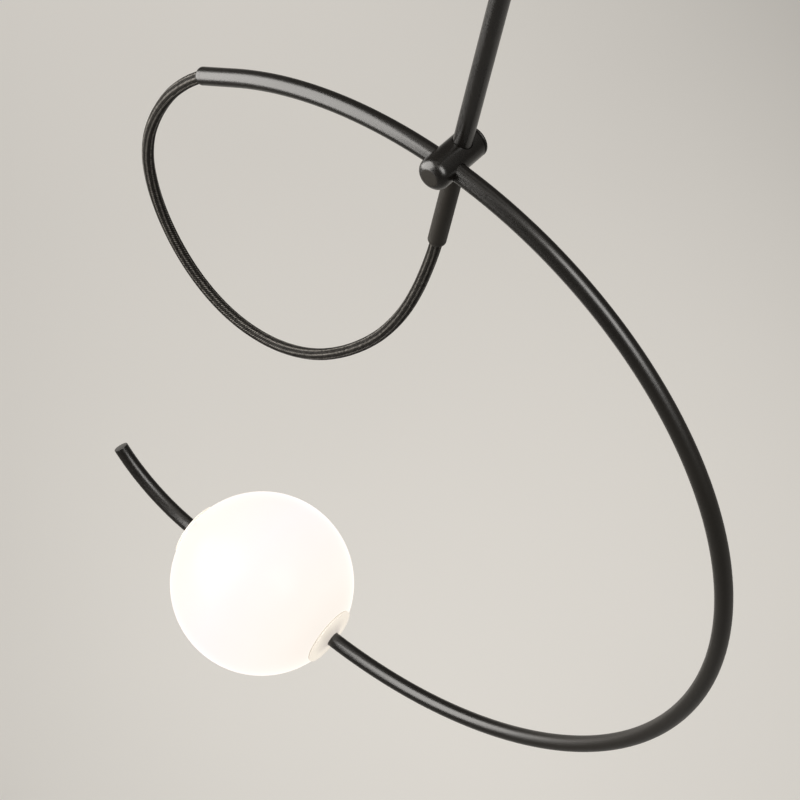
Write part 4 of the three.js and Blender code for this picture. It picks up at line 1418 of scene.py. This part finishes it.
FLOOR_Z = -1.9
FLOOR_HALF = 9
FLOOR_COLOUR = (0.642, 0.635, 0.613)
FLOOR_MIDDLE = (-1.2, 1.0)
FLOOR_FAR_SHARE = 0.5
FLOOR_FRONT_SHARE = 0.6
FLOOR_ACROSS = -0.095
FLOOR_ALONG = 0.105
FLOOR_CORNER = -0.095
FLOOR_BOW = -0.09
FLOOR_SPREAD = 0.055
FLOOR_LIFT = 0.33
FLOOR_TINT = (1.0, 0.955, 0.89)


def pale_backdrop():
    """A pale warm grey floor with painted light: brightest behind the lamp and dimmer away from there and
    towards the front.
    """
    material, tree, shader = new_finish(
        "pale floor", FLOOR_COLOUR, 0.9, Specular_IOR_Level=0.1, Emission_Color=(*FLOOR_TINT, 1)
    )
    spot, place = places_and_axes(tree)
    across = reckon(tree, "SUBTRACT", place[0], FLOOR_MIDDLE[0])
    along = reckon(tree, "SUBTRACT", place[1], FLOOR_MIDDLE[1])
    away = length_of(tree, across, along)
    # Painted light and shade: the floor's colour and glow fall off away from the middle spot and towards the
    # front
    painted_falloff = ramp(tree, away, 0.9, 3.2, 1.0, FLOOR_FAR_SHARE, "SMOOTHSTEP")
    painted_front_dimming = ramp(tree, place[1], -0.7, 0.1, FLOOR_FRONT_SHARE, 1, "SMOOTHSTEP")
    share = product(tree, painted_falloff, mottle(tree, spot, 1.2, 0.985, 1.015), painted_front_dimming)
    # Painted slopes of light and shade across the floor
    shade = total(
        tree,
        product(tree, across, FLOOR_ACROSS),
        product(tree, along, FLOOR_ALONG),
        product(tree, across, along, FLOOR_CORNER),
        product(tree, along, along, FLOOR_BOW),
        product(tree, across, across, FLOOR_SPREAD),
    )
    window = ramp(tree, away, 1.5, 2.4, 1, 0, "SMOOTHSTEP")
    lift = total(tree, product(tree, share, FLOOR_LIFT), product(tree, shade, window))
    path = tree.nodes.new("ShaderNodeLightPath").outputs
    seen = reckon(tree, "MAXIMUM", path["Is Camera Ray"], path["Is Glossy Ray"])
    seen = reckon(tree, "MAXIMUM", seen, path["Is Transmission Ray"])
    strength = product(tree, reckon(tree, "MAXIMUM", lift, 0), seen)
    colour = blend_colours(tree, share, DARK, FLOOR_COLOUR)
    drive(tree, shader, Base_Color=colour, Emission_Strength=strength)
    return material


floor_mesh = bpy.data.meshes.new("floor")
floor_corners = [(x * FLOOR_HALF, y * FLOOR_HALF, FLOOR_Z) for x, y in ((-1, -1), (1, -1), (1, 1), (-1, 1))]
floor_mesh.from_pydata(floor_corners, [], [(0, 1, 2, 3)])
floor_mesh.materials.append(pale_backdrop())
floor = new_object("floor", floor_mesh)


def softbox(name, place, target, size, radiance, colour):
    """A soft light of one width and height that faces a target."""
    light = bpy.data.lights.new(name, "AREA")
    light.shape = "RECTANGLE"
    light.size, light.size_y = size
    light.energy = radiance * math.pi * size[0] * size[1]
    light.color = colour
    lamp = new_object(name, light)
    lamp.location = place
    lamp.visible_camera = False
    lamp.rotation_mode = "QUATERNION"
    lamp.rotation_quaternion = (Vector(target) - Vector(place)).to_track_quat("-Z", "Y")


softbox("left softbox", (-0.82, -0.60, -0.05), (0, 0, -0.05), (1.25, 1.75), 4.8, (1.0, 0.97, 0.93))
softbox("upper right softbox", (1.40, -0.22, 1.44), (0, 0, -0.5), (1.25, 1.7), 4.5, (1.0, 0.98, 0.95))


def room_light():
    """A dim room with a soft pale ceiling."""
    world = bpy.data.worlds.new("studio")
    bpy.context.scene.world = world
    world.use_nodes = True
    tree = world.node_tree
    sky = tree.nodes["Background"]
    sky.inputs["Color"].default_value = (1.0, 0.95, 0.88, 1)
    way = tree.nodes.new("ShaderNodeSeparateXYZ")
    tree.links.new(tree.nodes.new("ShaderNodeTexCoord").outputs["Generated"], way.inputs[0])
    overhead = ramp(tree, way.outputs[2], 0.7, 0.99, 0.09, 0.55, "SMOOTHSTEP")
    tree.links.new(overhead, sky.inputs["Strength"])


room_light()

bpy.context.scene.view_settings.view_transform = "Standard"
